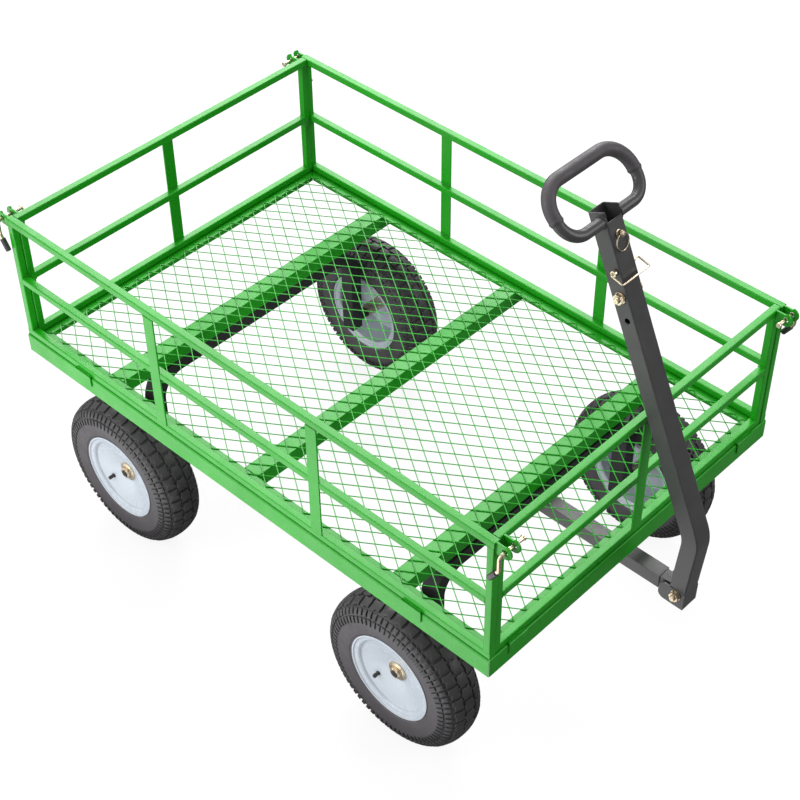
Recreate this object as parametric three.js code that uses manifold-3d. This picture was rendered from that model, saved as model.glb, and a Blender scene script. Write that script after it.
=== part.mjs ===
// A four-wheeled steel mesh cart, pulled by hand or towed behind a garden tractor.
// Millimetres. +Z is up, -Y is the front (the handle's end), +X is the cart's right as seen
// from in front of it. Heights are counted from the ground, X and Y from the bed's centre.
import * as THREE from 'three';
import { mergeVertices } from 'three/addons/utils/BufferGeometryUtils.js';
import Module from 'manifold-3d';

const wasm = await Module();
wasm.setup();

// Clearances: between touching parts, of joined shapes into each other, and of a cutter past them
const GAP = 0.3;
const LAP = 0.5;
const PAST = 5;

// Flat sides and steps that stand for round shapes
const HEX_SIDES = 6;
const WIRE_SIDES = 6;
const ROD_SIDES = 8;
const ROUND_SIDES = 12;
const WHEEL_SIDES = 20;
const ARC_STEPS = 6;
const CORNER_STEPS = 4;
const ROD_STEPS = 12;
const LOOP_STEPS = 24;

// Bed frame: four lengths of angle iron, level leg on top and skirt outside
const BED_WIDTH = 857;
const BED_LENGTH = 1320;
const BED_TOP = 446;
const ANGLE_LEG = 39;
const ANGLE_SKIRT = 46;
const ANGLE_WALL = 3.5;
const ANGLE_CORNER = 4;
const HALF_WIDTH = BED_WIDTH / 2;
const HALF_LENGTH = BED_LENGTH / 2;
const LEG_EDGE_X = HALF_WIDTH - ANGLE_LEG;

// Cross members under the deck
const CROSS_DEPTH = 38;
const CROSS_HEIGHT = 35;
const CROSS_WALL = 3;
const CROSS_BOTTOM = BED_TOP - CROSS_HEIGHT;
const FRONT_Y = -406;
const REAR_Y = 408;

// Deck of expanded metal, drawn with large diamonds
const DECK_HALF_X = 398;
const DECK_HALF_Y = 630;
const DECK_THICK = 2;
const DECK_BORDER = 9;
const DIAMOND_COLUMNS = 5;
const DIAMOND_ROWS = 6;
const STRAND = 10;

// Side and end panels of square tube with flat-bar posts
const RAIL = 16;
const PANEL_BOTTOM = BED_TOP + GAP;
const PANEL_TOP = 748.8;
const MID_RAIL_TOP = 600;
const LONG_PANEL_OUT = 425.7;
const LONG_PANEL_HALF = 657.5;
const END_PANEL_OUT = 655.5;
const END_PANEL_HALF = LONG_PANEL_OUT - RAIL - GAP;
const BAR_WIDTH = 28;
const BAR_THICK = 3.5;
const BAR_PROUD = 1;
const LONG_PANEL_BARS = [-222, 222];
const END_PANEL_BARS = [0];

// Hook tabs that hang from a panel over the frame's skirt
const TAB_WIDTH = 50;
const TAB_THICK = 3;
const TAB_TOP = 449.5;
const TAB_BOTTOM = 424;
const LONG_PANEL_TABS = [-471, 471];
const END_PANEL_TABS = [-350, 350];

// Corner latches: two eared plates and a bent drop rod at each corner
const EAR_THICK = 4;
const EAR_RADIUS = 15;
const EAR_HOLE = 6.25;
const EAR_Z = 737;
const EAR_REACH_Y = 677;
const OUTER_EAR_X = 419;
const INNER_EAR_X = 397;
const LATCH_ROD = 4;
const LATCH_HEAD = 5.8;
const LATCH_HEAD_LENGTH = 4;
const LATCH_INNER_X = 372;
const LATCH_OUTER_X = 434;
const LATCH_KNEE_Z = 703;
const LATCH_TIP_Z = 672;
const LATCH_TIP_Y = EAR_REACH_Y - 20;
const LATCH_BEND = 9;
const LATCH_CAP = 6;
const LATCH_CAP_LENGTH = 27;
const LATCH_CAP_WALL = 1.1;
const LATCH_CAP_BORE = 4.7;

// Wheels
const WHEEL_X = 382.7;
const WHEEL_RADIUS = 178;
const CROWN_RADIUS = WHEEL_RADIUS / Math.cos(Math.PI / WHEEL_SIDES);
const RIM_LIP_RADIUS = 101;
const RIM_LIP_OUT = 44.8;
const RIM_LIP_IN = 42.3;
const RIM_SEAT_RADIUS = 88;
const RIM_SEAT_OUT = 38;
const RIM_INSIDE_RADIUS = 85;
const RIM_INSIDE_OUT = 40;
const DISC_EDGE_OUT = 34;
const DISC_OUT = 17;
const DISC_THICK = 3;
const HUB_BORE = 8.4;
const HUB_RADIUS = 15;
const HUB_FLANGE = 22;
const HUB_INNER = -40;
const HUB_OUTER = 21;
const HUB_FLANGE_OUT = 20;
const VALVE_FOOT_RADIUS = 4.5;
const VALVE_FOOT = 4;
const VALVE_RADIUS = 3;
const VALVE_LENGTH = 14;
const VALVE_BACK = 46;
const VALVE_DOWN = 38;

// Half of the tyre's section as [radius, distance from the wheel's middle], from bead to crown
const TYRE_OUTSIDE = [[89, 37], [102.5, 41.5], [138, 50], [168, 40], [CROWN_RADIUS, 14]];
const TYRE_INSIDE = [[96, 30], [130, 42], [166, 22]];

// Undercarriage
const LEG_CENTRE_X = 301;
const ARM_THICK = 32;
const ARM_DEPTH = 35;
const ARM_BEND = 85;
const LEG_BOTTOM = 160;
const STUB_RADIUS = 8;
const STUB_COLLAR = 12;
const STUB_END = 30;
const NUT_RADIUS = 13;
const NUT_START = HUB_OUTER + GAP;
const NUT_END = 28;
const TURNTABLE_RADIUS = 34;
const TURNTABLE_PLATE = 5;
const KINGPIN_RADIUS = 10;
const KINGPIN_HEAD = 16;
const KINGPIN_HEAD_HEIGHT = 8;
const KINGPIN_END = 338;
const KINGPIN_NUT_HEIGHT = 10;
const DROP_HALF_X = 32;
const DROP_FRONT = -430;
const DROP_REAR = -382;
const DROP_BOTTOM = 352;

// Tongue, and the lug at its front end that carries the handle
const TONGUE_SIZE = 32;
const TONGUE_WALL = 2.5;
const TONGUE_Z = 372;
const TONGUE_FRONT = -731;
const PIVOT_Y = -776;
const PIVOT_Z = 374;
const LUG_HALF_X = 13;
const LUG_RADIUS = 12.5;
const LUG_ROOT = 7;
const LUG_BOSS_RADIUS = 10;
const TONGUE_PLUG = 12;
const LUG_RELIEF = THREE.MathUtils.degToRad(25);

// Handle
const HANDLE_TILT = THREE.MathUtils.degToRad(1.3);
const TUBE_WIDTH = 42;
const TUBE_DEPTH = 37;
const TUBE_WALL = 2.5;
const TUBE_BOTTOM_Z = 386.8;
const TUBE_FRONT_FOOT = [-795, TUBE_BOTTOM_Z];
const TUBE_FRONT_KNEE = [-804, 530];
const TUBE_FRONT_TIP = [-513, 1138.6];
const TUBE_BEND = 60;
const MOUTH_DEPTH = 20;
const CLEVIS_HALF_X = 22;
const CLEVIS_WALL = 4;
const CLEVIS_FRONT = -795;
const CLEVIS_REAR = -736;
const CLEVIS_BOTTOM = 344;
const CLEVIS_CORNER = 14;
const LOOP_RADIUS = 11;
const COVER_RADIUS = 13;
const COVER_CLEARANCE = 0.4;
const LOOP_LEAN = THREE.MathUtils.degToRad(42.6);
const LOOP_FOOT = [-511, 1118];
const LOOP_HALF_X = 104;
const LOOP_HEIGHT = 101.4;
const COVER_SKIPS = 5;
const HITCH_PIN_RADIUS = 5;
const HITCH_PIN_DOWN = 47;
const HITCH_PIN_TAIL = 6;
const HITCH_HEAD_RADIUS = 6;
const HITCH_HEAD_HEIGHT = 12;
const HITCH_EYE = 2.8;
const HITCH_EYE_OFF = 7;
const RING_RADIUS = 16;
const RING_WIRE = 1.5;
const RING_LEAN = THREE.MathUtils.degToRad(9);
const BAIL_PIN_AT = [-551, 1034];
const BAIL_PIN_RADIUS = 4;
const BAIL_HEAD_RADIUS = 6;
const BAIL_PIN_HALF = 29;
const BAIL_WIRE = 1.6;
const BAIL_FORWARD = 20.8;
const BAIL_DOWN = 17;
const BAIL_LEFT_X = -34;
const BAIL_RIGHT_X = 40;
const BAIL_BEND = 3;
const CROSS_BOLT_AT = [-567, 987];
const SPARE_HOLE_AT = [-587, 946];
const BOLT_RADIUS = 6;
const BOLT_HEX = 11;
const BOLT_HEAD = 7;
const BOLT_NUT = 9;
const BOLT_TAIL = 5;

// Finishes
const GREEN = new THREE.MeshStandardMaterial({ color: 0x3a9b34, roughness: 0.42, metalness: 0 });
const CHARCOAL = new THREE.MeshStandardMaterial({ color: 0x3c3f3d, roughness: 0.55, metalness: 0 });
const WHITE = new THREE.MeshStandardMaterial({ color: 0xc9d4e0, roughness: 0.35, metalness: 0 });
const RUBBER = new THREE.MeshStandardMaterial({ color: 0x1d1d1e, roughness: 0.85, metalness: 0 });
const ZINC = new THREE.MeshStandardMaterial({ color: 0xc8a878, roughness: 0.3, metalness: 1 });
const VINYL = new THREE.MeshStandardMaterial({ color: 0x29272b, roughness: 0.5, metalness: 0 });

const AXIS_X = new THREE.Vector3(1, 0, 0);
const AXIS_Y = new THREE.Vector3(0, 1, 0);
const AXIS_Z = new THREE.Vector3(0, 0, 1);

// Solids

function toSolid(geometry) {
  const bare = geometry.clone();
  bare.deleteAttribute('normal');
  bare.deleteAttribute('uv');
  const merged = mergeVertices(bare, 1e-3);
  return new wasm.Manifold(new wasm.Mesh({
    numProp: 3,
    vertProperties: new Float32Array(merged.attributes.position.array),
    triVerts: new Uint32Array(merged.index.array),
  }));
}

function toGeometry(solid) {
  const { vertProperties, triVerts } = solid.getMesh();
  const geometry = new THREE.BufferGeometry();
  geometry.setAttribute('position', new THREE.BufferAttribute(vertProperties, 3));
  geometry.setIndex(new THREE.BufferAttribute(triVerts, 1));
  geometry.computeVertexNormals();
  return geometry;
}

function join(first, ...others) {
  return toGeometry(others.reduce((solid, other) => solid.add(toSolid(other)), toSolid(first)));
}

function cut(first, ...others) {
  return toGeometry(others.reduce((solid, other) => solid.subtract(toSolid(other)), toSolid(first)));
}

function boxBetween(low, high) {
  const size = high.map((value, axis) => value - low[axis]);
  const centre = high.map((value, axis) => (value + low[axis]) / 2);
  return new THREE.BoxGeometry(...size).translate(...centre);
}

// A cylinder between two points; its flat sides start at a corner
function cylinderBetween(start, end, radius, sides = ROUND_SIDES) {
  const from = new THREE.Vector3(...start);
  const to = new THREE.Vector3(...end);
  const geometry = new THREE.CylinderGeometry(radius, radius, from.distanceTo(to), sides);
  const direction = to.clone().sub(from).normalize();
  geometry.applyQuaternion(new THREE.Quaternion().setFromUnitVectors(AXIS_Y, direction));
  const centre = from.add(to).multiplyScalar(0.5);
  return geometry.translate(centre.x, centre.y, centre.z);
}

// A solid of revolution about X, from [radius, distance along X] points
function turnedAboutX(profile, sides = ROUND_SIDES) {
  const points = profile.map(([radius, along]) => new THREE.Vector2(radius, along));
  const half = Math.PI / sides;
  return new THREE.LatheGeometry(points, sides, half).rotateZ(-Math.PI / 2);
}

function closed(profile) {
  return [...profile, profile[0]];
}

// Extrudes an outline drawn in the X-Z plane along Y, centred on y = 0
function extrudeAlongY(shape, depth, curveSegments = ARC_STEPS) {
  const geometry = new THREE.ExtrudeGeometry(shape, { depth, bevelEnabled: false, curveSegments });
  return geometry.rotateX(Math.PI / 2).translate(0, depth / 2, 0);
}

// Extrudes an outline drawn in the Y-Z plane along X, centred on x = 0
function extrudeAlongX(shape, depth, curveSegments = ARC_STEPS) {
  const geometry = new THREE.ExtrudeGeometry(shape, { depth, bevelEnabled: false, curveSegments });
  geometry.applyMatrix4(new THREE.Matrix4().makeBasis(AXIS_Y, AXIS_Z, AXIS_X));
  return geometry.translate(-depth / 2, 0, 0);
}

// A line through the points with its corners rounded
function roundedPath(points, radius) {
  const corners = points.map((point) => new THREE.Vector3(...point));
  const path = new THREE.CurvePath();
  let start = corners[0];
  for (let index = 1; index < corners.length - 1; index += 1) {
    const corner = corners[index];
    const back = corners[index - 1].clone().sub(corner).normalize();
    const ahead = corners[index + 1].clone().sub(corner).normalize();
    const turn = Math.PI - back.angleTo(ahead);
    const reach = radius * Math.tan(turn / 2);
    const pull = reach - radius * Math.tan(turn / 4) * 4 / 3;
    const enter = corner.clone().addScaledVector(back, reach);
    const leave = corner.clone().addScaledVector(ahead, reach);
    if (start.distanceTo(enter) > LAP) {
      path.add(new THREE.LineCurve3(start, enter));
    }
    const pullIn = corner.clone().addScaledVector(back, pull);
    const pullOut = corner.clone().addScaledVector(ahead, pull);
    path.add(new THREE.CubicBezierCurve3(enter, pullIn, pullOut, leave));
    start = leave;
  }
  path.add(new THREE.LineCurve3(start, corners[corners.length - 1]));
  return path;
}

// Part of another curve, by its length
class Stretch extends THREE.Curve {
  constructor(curve, from, to) {
    super();
    this.curve = curve;
    this.from = from;
    this.to = to;
  }

  getPoint(t, target = new THREE.Vector3()) {
    return target.copy(this.curve.getPointAt(this.from + (this.to - this.from) * t));
  }
}

function circle(radius, sides) {
  return Array.from({ length: sides }, (_, index) => {
    const angle = 2 * Math.PI * (index + 0.5) / sides;
    return new THREE.Vector2(radius * Math.cos(angle), radius * Math.sin(angle));
  });
}

function rodAlong(path, radius, steps, sides = ROD_SIDES) {
  const section = new THREE.Shape(circle(radius, sides));
  return new THREE.ExtrudeGeometry(section, { extrudePath: path, steps, bevelEnabled: false });
}

function sleeveAlong(path, outer, inner, steps) {
  const section = new THREE.Shape(circle(outer, ROD_SIDES));
  section.holes.push(new THREE.Path(circle(inner, ROD_SIDES)));
  return new THREE.ExtrudeGeometry(section, { extrudePath: path, steps, bevelEnabled: false });
}

// A hexagon nut about X with a round hole
function hexNut(radius, hole, from, to) {
  const ring = new THREE.Shape(circle(radius, HEX_SIDES));
  ring.holes.push(new THREE.Path(circle(hole, ROUND_SIDES)));
  return extrudeAlongX(ring, Math.abs(to - from)).translate((from + to) / 2, 0, 0);
}

// Bed frame

function angleSection() {
  const section = new THREE.Shape();
  section.moveTo(-ANGLE_LEG, -ANGLE_WALL);
  section.lineTo(-ANGLE_WALL, -ANGLE_WALL);
  section.lineTo(-ANGLE_WALL, -ANGLE_SKIRT);
  section.lineTo(0, -ANGLE_SKIRT);
  section.lineTo(0, -ANGLE_CORNER);
  section.absarc(-ANGLE_CORNER, -ANGLE_CORNER, ANGLE_CORNER, 0, Math.PI / 2);
  section.lineTo(-ANGLE_LEG, 0);
  return section;
}

// An angle rail along Y with its outer face at x = reach and both ends mitred
function frameRail(length, reach) {
  const geometry = extrudeAlongY(angleSection(), length, CORNER_STEPS).translate(reach, 0, BED_TOP);
  const corners = geometry.attributes.position;
  for (let index = 0; index < corners.count; index += 1) {
    const inset = reach - corners.getX(index);
    const end = length / 2 - inset - GAP;
    corners.setY(index, Math.sign(corners.getY(index)) * end);
  }
  return geometry;
}

// A box-section cross member whose ends step down to pass under the frame's level legs
function crossMember(boreRadius = 0) {
  const end = HALF_WIDTH - ANGLE_WALL - GAP;
  const shoulder = LEG_EDGE_X - GAP;
  const step = BED_TOP - ANGLE_WALL - GAP;
  const outline = new THREE.Shape();
  outline.moveTo(-end, CROSS_BOTTOM);
  outline.lineTo(end, CROSS_BOTTOM);
  outline.lineTo(end, step);
  outline.lineTo(shoulder, step);
  outline.lineTo(shoulder, BED_TOP);
  outline.lineTo(-shoulder, BED_TOP);
  outline.lineTo(-shoulder, step);
  outline.lineTo(-end, step);
  const halfBore = CROSS_DEPTH / 2 - CROSS_WALL;
  const bore = boxBetween(
    [-HALF_WIDTH, -halfBore, CROSS_BOTTOM + CROSS_WALL],
    [HALF_WIDTH, halfBore, step - CROSS_WALL],
  );
  const tube = cut(extrudeAlongY(outline, CROSS_DEPTH), bore);
  if (boreRadius === 0) {
    return tube;
  }
  const below = [0, 0, CROSS_BOTTOM - CROSS_WALL];
  const above = [0, 0, CROSS_BOTTOM + 2 * CROSS_WALL];
  return cut(tube, cylinderBetween(below, above, boreRadius));
}

function deckMesh() {
  const spanX = 2 * (DECK_HALF_X - DECK_BORDER);
  const spanY = 2 * (DECK_HALF_Y - DECK_BORDER);
  const pitchX = spanX / DIAMOND_COLUMNS;
  const pitchY = spanY / DIAMOND_ROWS;
  const sheet = new THREE.Shape([
    new THREE.Vector2(-DECK_HALF_X, -DECK_HALF_Y),
    new THREE.Vector2(DECK_HALF_X, -DECK_HALF_Y),
    new THREE.Vector2(DECK_HALF_X, DECK_HALF_Y),
    new THREE.Vector2(-DECK_HALF_X, DECK_HALF_Y),
  ]);
  const slope = Math.hypot(pitchX, pitchY);
  const halfX = pitchX / 2 - STRAND * slope / pitchY / 2;
  const halfY = pitchY / 2 - STRAND * slope / pitchX / 2;
  const addDiamond = (x, y) => {
    sheet.holes.push(new THREE.Path([
      new THREE.Vector2(x - halfX, y),
      new THREE.Vector2(x, y - halfY),
      new THREE.Vector2(x + halfX, y),
      new THREE.Vector2(x, y + halfY),
    ]));
  };
  for (let column = 0; column < DIAMOND_COLUMNS; column += 1) {
    for (let row = 0; row < DIAMOND_ROWS; row += 1) {
      const x = -spanX / 2 + pitchX * (column + 0.5);
      const y = -spanY / 2 + pitchY * (row + 0.5);
      addDiamond(x, y);
      if (column > 0 && row > 0) {
        addDiamond(x - pitchX / 2, y - pitchY / 2);
      }
    }
  }
  const geometry = new THREE.ExtrudeGeometry(sheet, { depth: DECK_THICK, bevelEnabled: false });
  return geometry.translate(0, 0, BED_TOP + GAP);
}

// Panels: drawn running along X with the outer face towards -Y at y = -outFace

function rectangle(left, bottom, right, top) {
  return [
    new THREE.Vector2(left, bottom),
    new THREE.Vector2(right, bottom),
    new THREE.Vector2(right, top),
    new THREE.Vector2(left, top),
  ];
}

function panel(halfLength, outFace, skirtFace, bars, tabs) {
  const frame = new THREE.Shape(rectangle(-halfLength, PANEL_BOTTOM, halfLength, PANEL_TOP));
  const inside = halfLength - RAIL;
  frame.holes.push(new THREE.Path(
    rectangle(-inside, PANEL_BOTTOM + RAIL, inside, MID_RAIL_TOP - RAIL),
  ));
  frame.holes.push(new THREE.Path(rectangle(-inside, MID_RAIL_TOP, inside, PANEL_TOP - RAIL)));
  const rails = extrudeAlongY(frame, RAIL).translate(0, RAIL / 2 - outFace, 0);
  const posts = bars.map((x) => boxBetween(
    [x - BAR_WIDTH / 2, -outFace - BAR_PROUD, PANEL_BOTTOM + RAIL - LAP],
    [x + BAR_WIDTH / 2, -outFace - BAR_PROUD + BAR_THICK, PANEL_TOP - RAIL + LAP],
  ));
  const plateIn = -skirtFace - GAP;
  const plates = tabs.map((x) => boxBetween(
    [x - TAB_WIDTH / 2, plateIn - TAB_THICK, TAB_BOTTOM],
    [x + TAB_WIDTH / 2, plateIn, TAB_TOP],
  ));
  const spacers = tabs.map((x) => boxBetween(
    [x - TAB_WIDTH / 2 + LAP, plateIn - LAP, PANEL_BOTTOM + LAP],
    [x + TAB_WIDTH / 2 - LAP, -outFace + LAP, TAB_TOP - LAP],
  ));
  return join(rails, ...posts, ...plates, ...spacers);
}

// A latch ear standing forward (-Y) from y = -rootY, with its thickness along X
function latchEar(x, rootY) {
  const outline = new THREE.Shape();
  const tipY = -EAR_REACH_Y;
  outline.moveTo(-rootY + 2 * LAP, EAR_Z - EAR_RADIUS);
  outline.lineTo(-rootY + 2 * LAP, PANEL_TOP - GAP);
  outline.lineTo(-rootY, PANEL_TOP - GAP);
  outline.lineTo(tipY, EAR_Z + EAR_RADIUS);
  outline.absarc(tipY, EAR_Z, EAR_RADIUS, Math.PI / 2, 3 * Math.PI / 2);
  outline.lineTo(-rootY + 2 * LAP, EAR_Z - EAR_RADIUS);
  const ear = extrudeAlongX(outline, EAR_THICK).translate(x, 0, 0);
  const from = [x - EAR_THICK, tipY, EAR_Z];
  const drill = cylinderBetween(from, [x + EAR_THICK, tipY, EAR_Z], EAR_HOLE);
  return cut(ear, drill);
}

function endPanel() {
  const body = panel(END_PANEL_HALF, END_PANEL_OUT, HALF_LENGTH, END_PANEL_BARS, END_PANEL_TABS);
  return join(body, latchEar(-INNER_EAR_X, END_PANEL_OUT), latchEar(INNER_EAR_X, END_PANEL_OUT));
}

// The left panel: outer face towards -X, ears at both ends
function longPanel() {
  const body = panel(LONG_PANEL_HALF, LONG_PANEL_OUT, HALF_WIDTH, LONG_PANEL_BARS, LONG_PANEL_TABS);
  body.rotateZ(-Math.PI / 2);
  const front = latchEar(-OUTER_EAR_X, LONG_PANEL_HALF);
  const rear = latchEar(OUTER_EAR_X, LONG_PANEL_HALF).rotateZ(Math.PI);
  return join(body, front, rear);
}

// Latch rods: sideX and sideY are -1 or 1 and pick the corner

function latchPoints(sideX, sideY) {
  return [
    [sideX * LATCH_INNER_X, sideY * EAR_REACH_Y, EAR_Z],
    [sideX * LATCH_OUTER_X, sideY * EAR_REACH_Y, EAR_Z],
    [sideX * LATCH_OUTER_X, sideY * EAR_REACH_Y, LATCH_KNEE_Z],
    [sideX * LATCH_OUTER_X, sideY * LATCH_TIP_Y, LATCH_TIP_Z],
  ];
}

function latchRod(sideX, sideY) {
  const points = latchPoints(sideX, sideY);
  const rod = rodAlong(roundedPath(points, LATCH_BEND), LATCH_ROD, ROD_STEPS);
  const headEnd = [points[0][0] + sideX * LATCH_HEAD_LENGTH, points[0][1], EAR_Z];
  const headStart = [points[0][0] - sideX * LAP, points[0][1], EAR_Z];
  return join(rod, cylinderBetween(headStart, headEnd, LATCH_HEAD));
}

function latchCap(sideX, sideY) {
  const points = latchPoints(sideX, sideY);
  const tip = new THREE.Vector3(...points[3]);
  const knee = new THREE.Vector3(...points[2]);
  const up = knee.sub(tip).normalize();
  const bottom = -GAP - LATCH_CAP_WALL;
  const bore = LATCH_CAP_BORE;
  const profile = [
    [0, bottom],
    [LATCH_CAP, bottom],
    [LATCH_CAP, LATCH_CAP_LENGTH],
    [bore, LATCH_CAP_LENGTH],
    [bore, -GAP],
    [0, -GAP],
  ].map(([radius, along]) => new THREE.Vector2(radius, along));
  const cap = new THREE.LatheGeometry(profile, ROD_SIDES);
  cap.applyQuaternion(new THREE.Quaternion().setFromUnitVectors(AXIS_Y, up));
  return cap.translate(tip.x, tip.y, tip.z);
}

// Wheels: drawn about the X axis with the outer side towards +X

// The tyre is a hollow casing, open to the rim between its two beads
function tyre() {
  const mirrored = (points) => points.map(([radius, along]) => [radius, -along]);
  return turnedAboutX(closed([
    ...mirrored(TYRE_OUTSIDE),
    ...TYRE_OUTSIDE.toReversed(),
    ...TYRE_INSIDE,
    ...mirrored(TYRE_INSIDE).toReversed(),
  ]), WHEEL_SIDES);
}

// A barrel with a lip at both sides, and a dished disc that reaches from its outer side to the hub
function rim() {
  const discFlat = HUB_FLANGE + DISC_THICK;
  const discHole = HUB_RADIUS + GAP;
  return turnedAboutX(closed([
    [RIM_LIP_RADIUS, -RIM_LIP_OUT],
    [RIM_LIP_RADIUS, -RIM_LIP_IN],
    [RIM_SEAT_RADIUS, -RIM_SEAT_OUT],
    [RIM_SEAT_RADIUS, RIM_SEAT_OUT],
    [RIM_LIP_RADIUS, RIM_LIP_IN],
    [RIM_LIP_RADIUS, RIM_LIP_OUT],
    [RIM_INSIDE_RADIUS, RIM_INSIDE_OUT],
    [RIM_INSIDE_RADIUS, DISC_EDGE_OUT],
    [discFlat, DISC_OUT],
    [discHole, DISC_OUT],
    [discHole, DISC_OUT - DISC_THICK],
    [discFlat, DISC_OUT - DISC_THICK],
    [RIM_INSIDE_RADIUS, DISC_EDGE_OUT - DISC_THICK],
    [RIM_INSIDE_RADIUS, -RIM_INSIDE_OUT],
  ]), WHEEL_SIDES);
}

function hub() {
  return turnedAboutX(closed([
    [HUB_RADIUS, HUB_INNER],
    [HUB_RADIUS, DISC_OUT + GAP],
    [HUB_FLANGE, DISC_OUT + GAP],
    [HUB_FLANGE, HUB_FLANGE_OUT],
    [HUB_RADIUS, HUB_FLANGE_OUT],
    [HUB_RADIUS, HUB_OUTER],
    [HUB_BORE, HUB_OUTER],
    [HUB_BORE, HUB_INNER],
  ]));
}

// The stem stands on the dished disc, clear of its slope
function valveStem() {
  const slope = (DISC_EDGE_OUT - DISC_OUT) / (RIM_INSIDE_RADIUS - HUB_FLANGE - DISC_THICK);
  const reach = Math.hypot(VALVE_BACK, VALVE_DOWN) + VALVE_FOOT_RADIUS;
  const foot = DISC_OUT + GAP + slope * (reach - HUB_FLANGE - DISC_THICK);
  return turnedAboutX([
    [0, 0],
    [VALVE_FOOT_RADIUS, 0],
    [VALVE_FOOT_RADIUS, VALVE_FOOT],
    [VALVE_RADIUS, VALVE_FOOT + VALVE_RADIUS],
    [VALVE_RADIUS, VALVE_LENGTH],
    [0, VALVE_LENGTH],
  ], ROD_SIDES).translate(foot, 0, 0);
}

// Undercarriage

function stubAxle() {
  const root = LEG_CENTRE_X + ARM_THICK / 2 + GAP - WHEEL_X;
  return turnedAboutX([
    [0, root],
    [STUB_COLLAR, root],
    [STUB_COLLAR, HUB_INNER - GAP],
    [STUB_RADIUS, HUB_INNER - GAP],
    [STUB_RADIUS, STUB_END],
    [0, STUB_END],
  ]);
}

function axleNut() {
  return hexNut(NUT_RADIUS, STUB_RADIUS + GAP, NUT_START, NUT_END);
}

// An arch bent from one bar: a level arm with a leg turned down at each end
function axleArch(top) {
  const out = LEG_CENTRE_X + ARM_THICK / 2;
  const inside = LEG_CENTRE_X - ARM_THICK / 2;
  const innerBend = ARM_BEND - ARM_THICK;
  const bendZ = top - ARM_BEND;
  const outline = new THREE.Shape();
  outline.moveTo(inside, LEG_BOTTOM);
  outline.lineTo(out, LEG_BOTTOM);
  outline.absarc(out - ARM_BEND, bendZ, ARM_BEND, 0, Math.PI / 2);
  outline.absarc(ARM_BEND - out, bendZ, ARM_BEND, Math.PI / 2, Math.PI);
  outline.lineTo(-out, LEG_BOTTOM);
  outline.lineTo(-inside, LEG_BOTTOM);
  outline.absarc(innerBend - inside, bendZ, innerBend, Math.PI, Math.PI / 2, true);
  outline.absarc(inside - innerBend, bendZ, innerBend, Math.PI / 2, 0, true);
  return extrudeAlongY(outline, ARM_DEPTH);
}

function rearAxle() {
  return axleArch(CROSS_BOTTOM - GAP).translate(0, REAR_Y, 0);
}

const UPPER_PLATE_Z = CROSS_BOTTOM - GAP - TURNTABLE_PLATE;
const LOWER_PLATE_Z = UPPER_PLATE_Z - GAP - TURNTABLE_PLATE;

function turntablePlate(bottom) {
  const disc = new THREE.Shape(circle(TURNTABLE_RADIUS, WHEEL_SIDES));
  disc.holes.push(new THREE.Path(circle(KINGPIN_RADIUS + LAP, ROUND_SIDES)));
  const options = { depth: TURNTABLE_PLATE, bevelEnabled: false };
  return new THREE.ExtrudeGeometry(disc, options).translate(0, FRONT_Y, bottom);
}

function frontAxle() {
  const top = LOWER_PLATE_Z - GAP;
  const arch = axleArch(top).translate(0, FRONT_Y, 0);
  const block = boxBetween(
    [-DROP_HALF_X, DROP_FRONT, DROP_BOTTOM],
    [DROP_HALF_X, DROP_REAR, top - ARM_THICK + LAP],
  );
  const drill = cylinderBetween(
    [0, FRONT_Y, DROP_BOTTOM - PAST],
    [0, FRONT_Y, top + PAST],
    KINGPIN_RADIUS + LAP,
  );
  return cut(join(arch, block), drill);
}

// The bolt's head sits inside the cross member and its nut below the axle's drop block
function kingpinBolt() {
  const headBottom = CROSS_BOTTOM + CROSS_WALL + GAP;
  const headTop = headBottom + KINGPIN_HEAD_HEIGHT;
  const nutTop = DROP_BOTTOM - GAP;
  const nutBottom = nutTop - KINGPIN_NUT_HEIGHT;
  return join(
    cylinderBetween([0, FRONT_Y, KINGPIN_END], [0, FRONT_Y, headTop - LAP], KINGPIN_RADIUS),
    cylinderBetween([0, FRONT_Y, headBottom], [0, FRONT_Y, headTop], KINGPIN_HEAD, HEX_SIDES),
    cylinderBetween([0, FRONT_Y, nutBottom], [0, FRONT_Y, nutTop], KINGPIN_HEAD, HEX_SIDES),
  );
}

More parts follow.
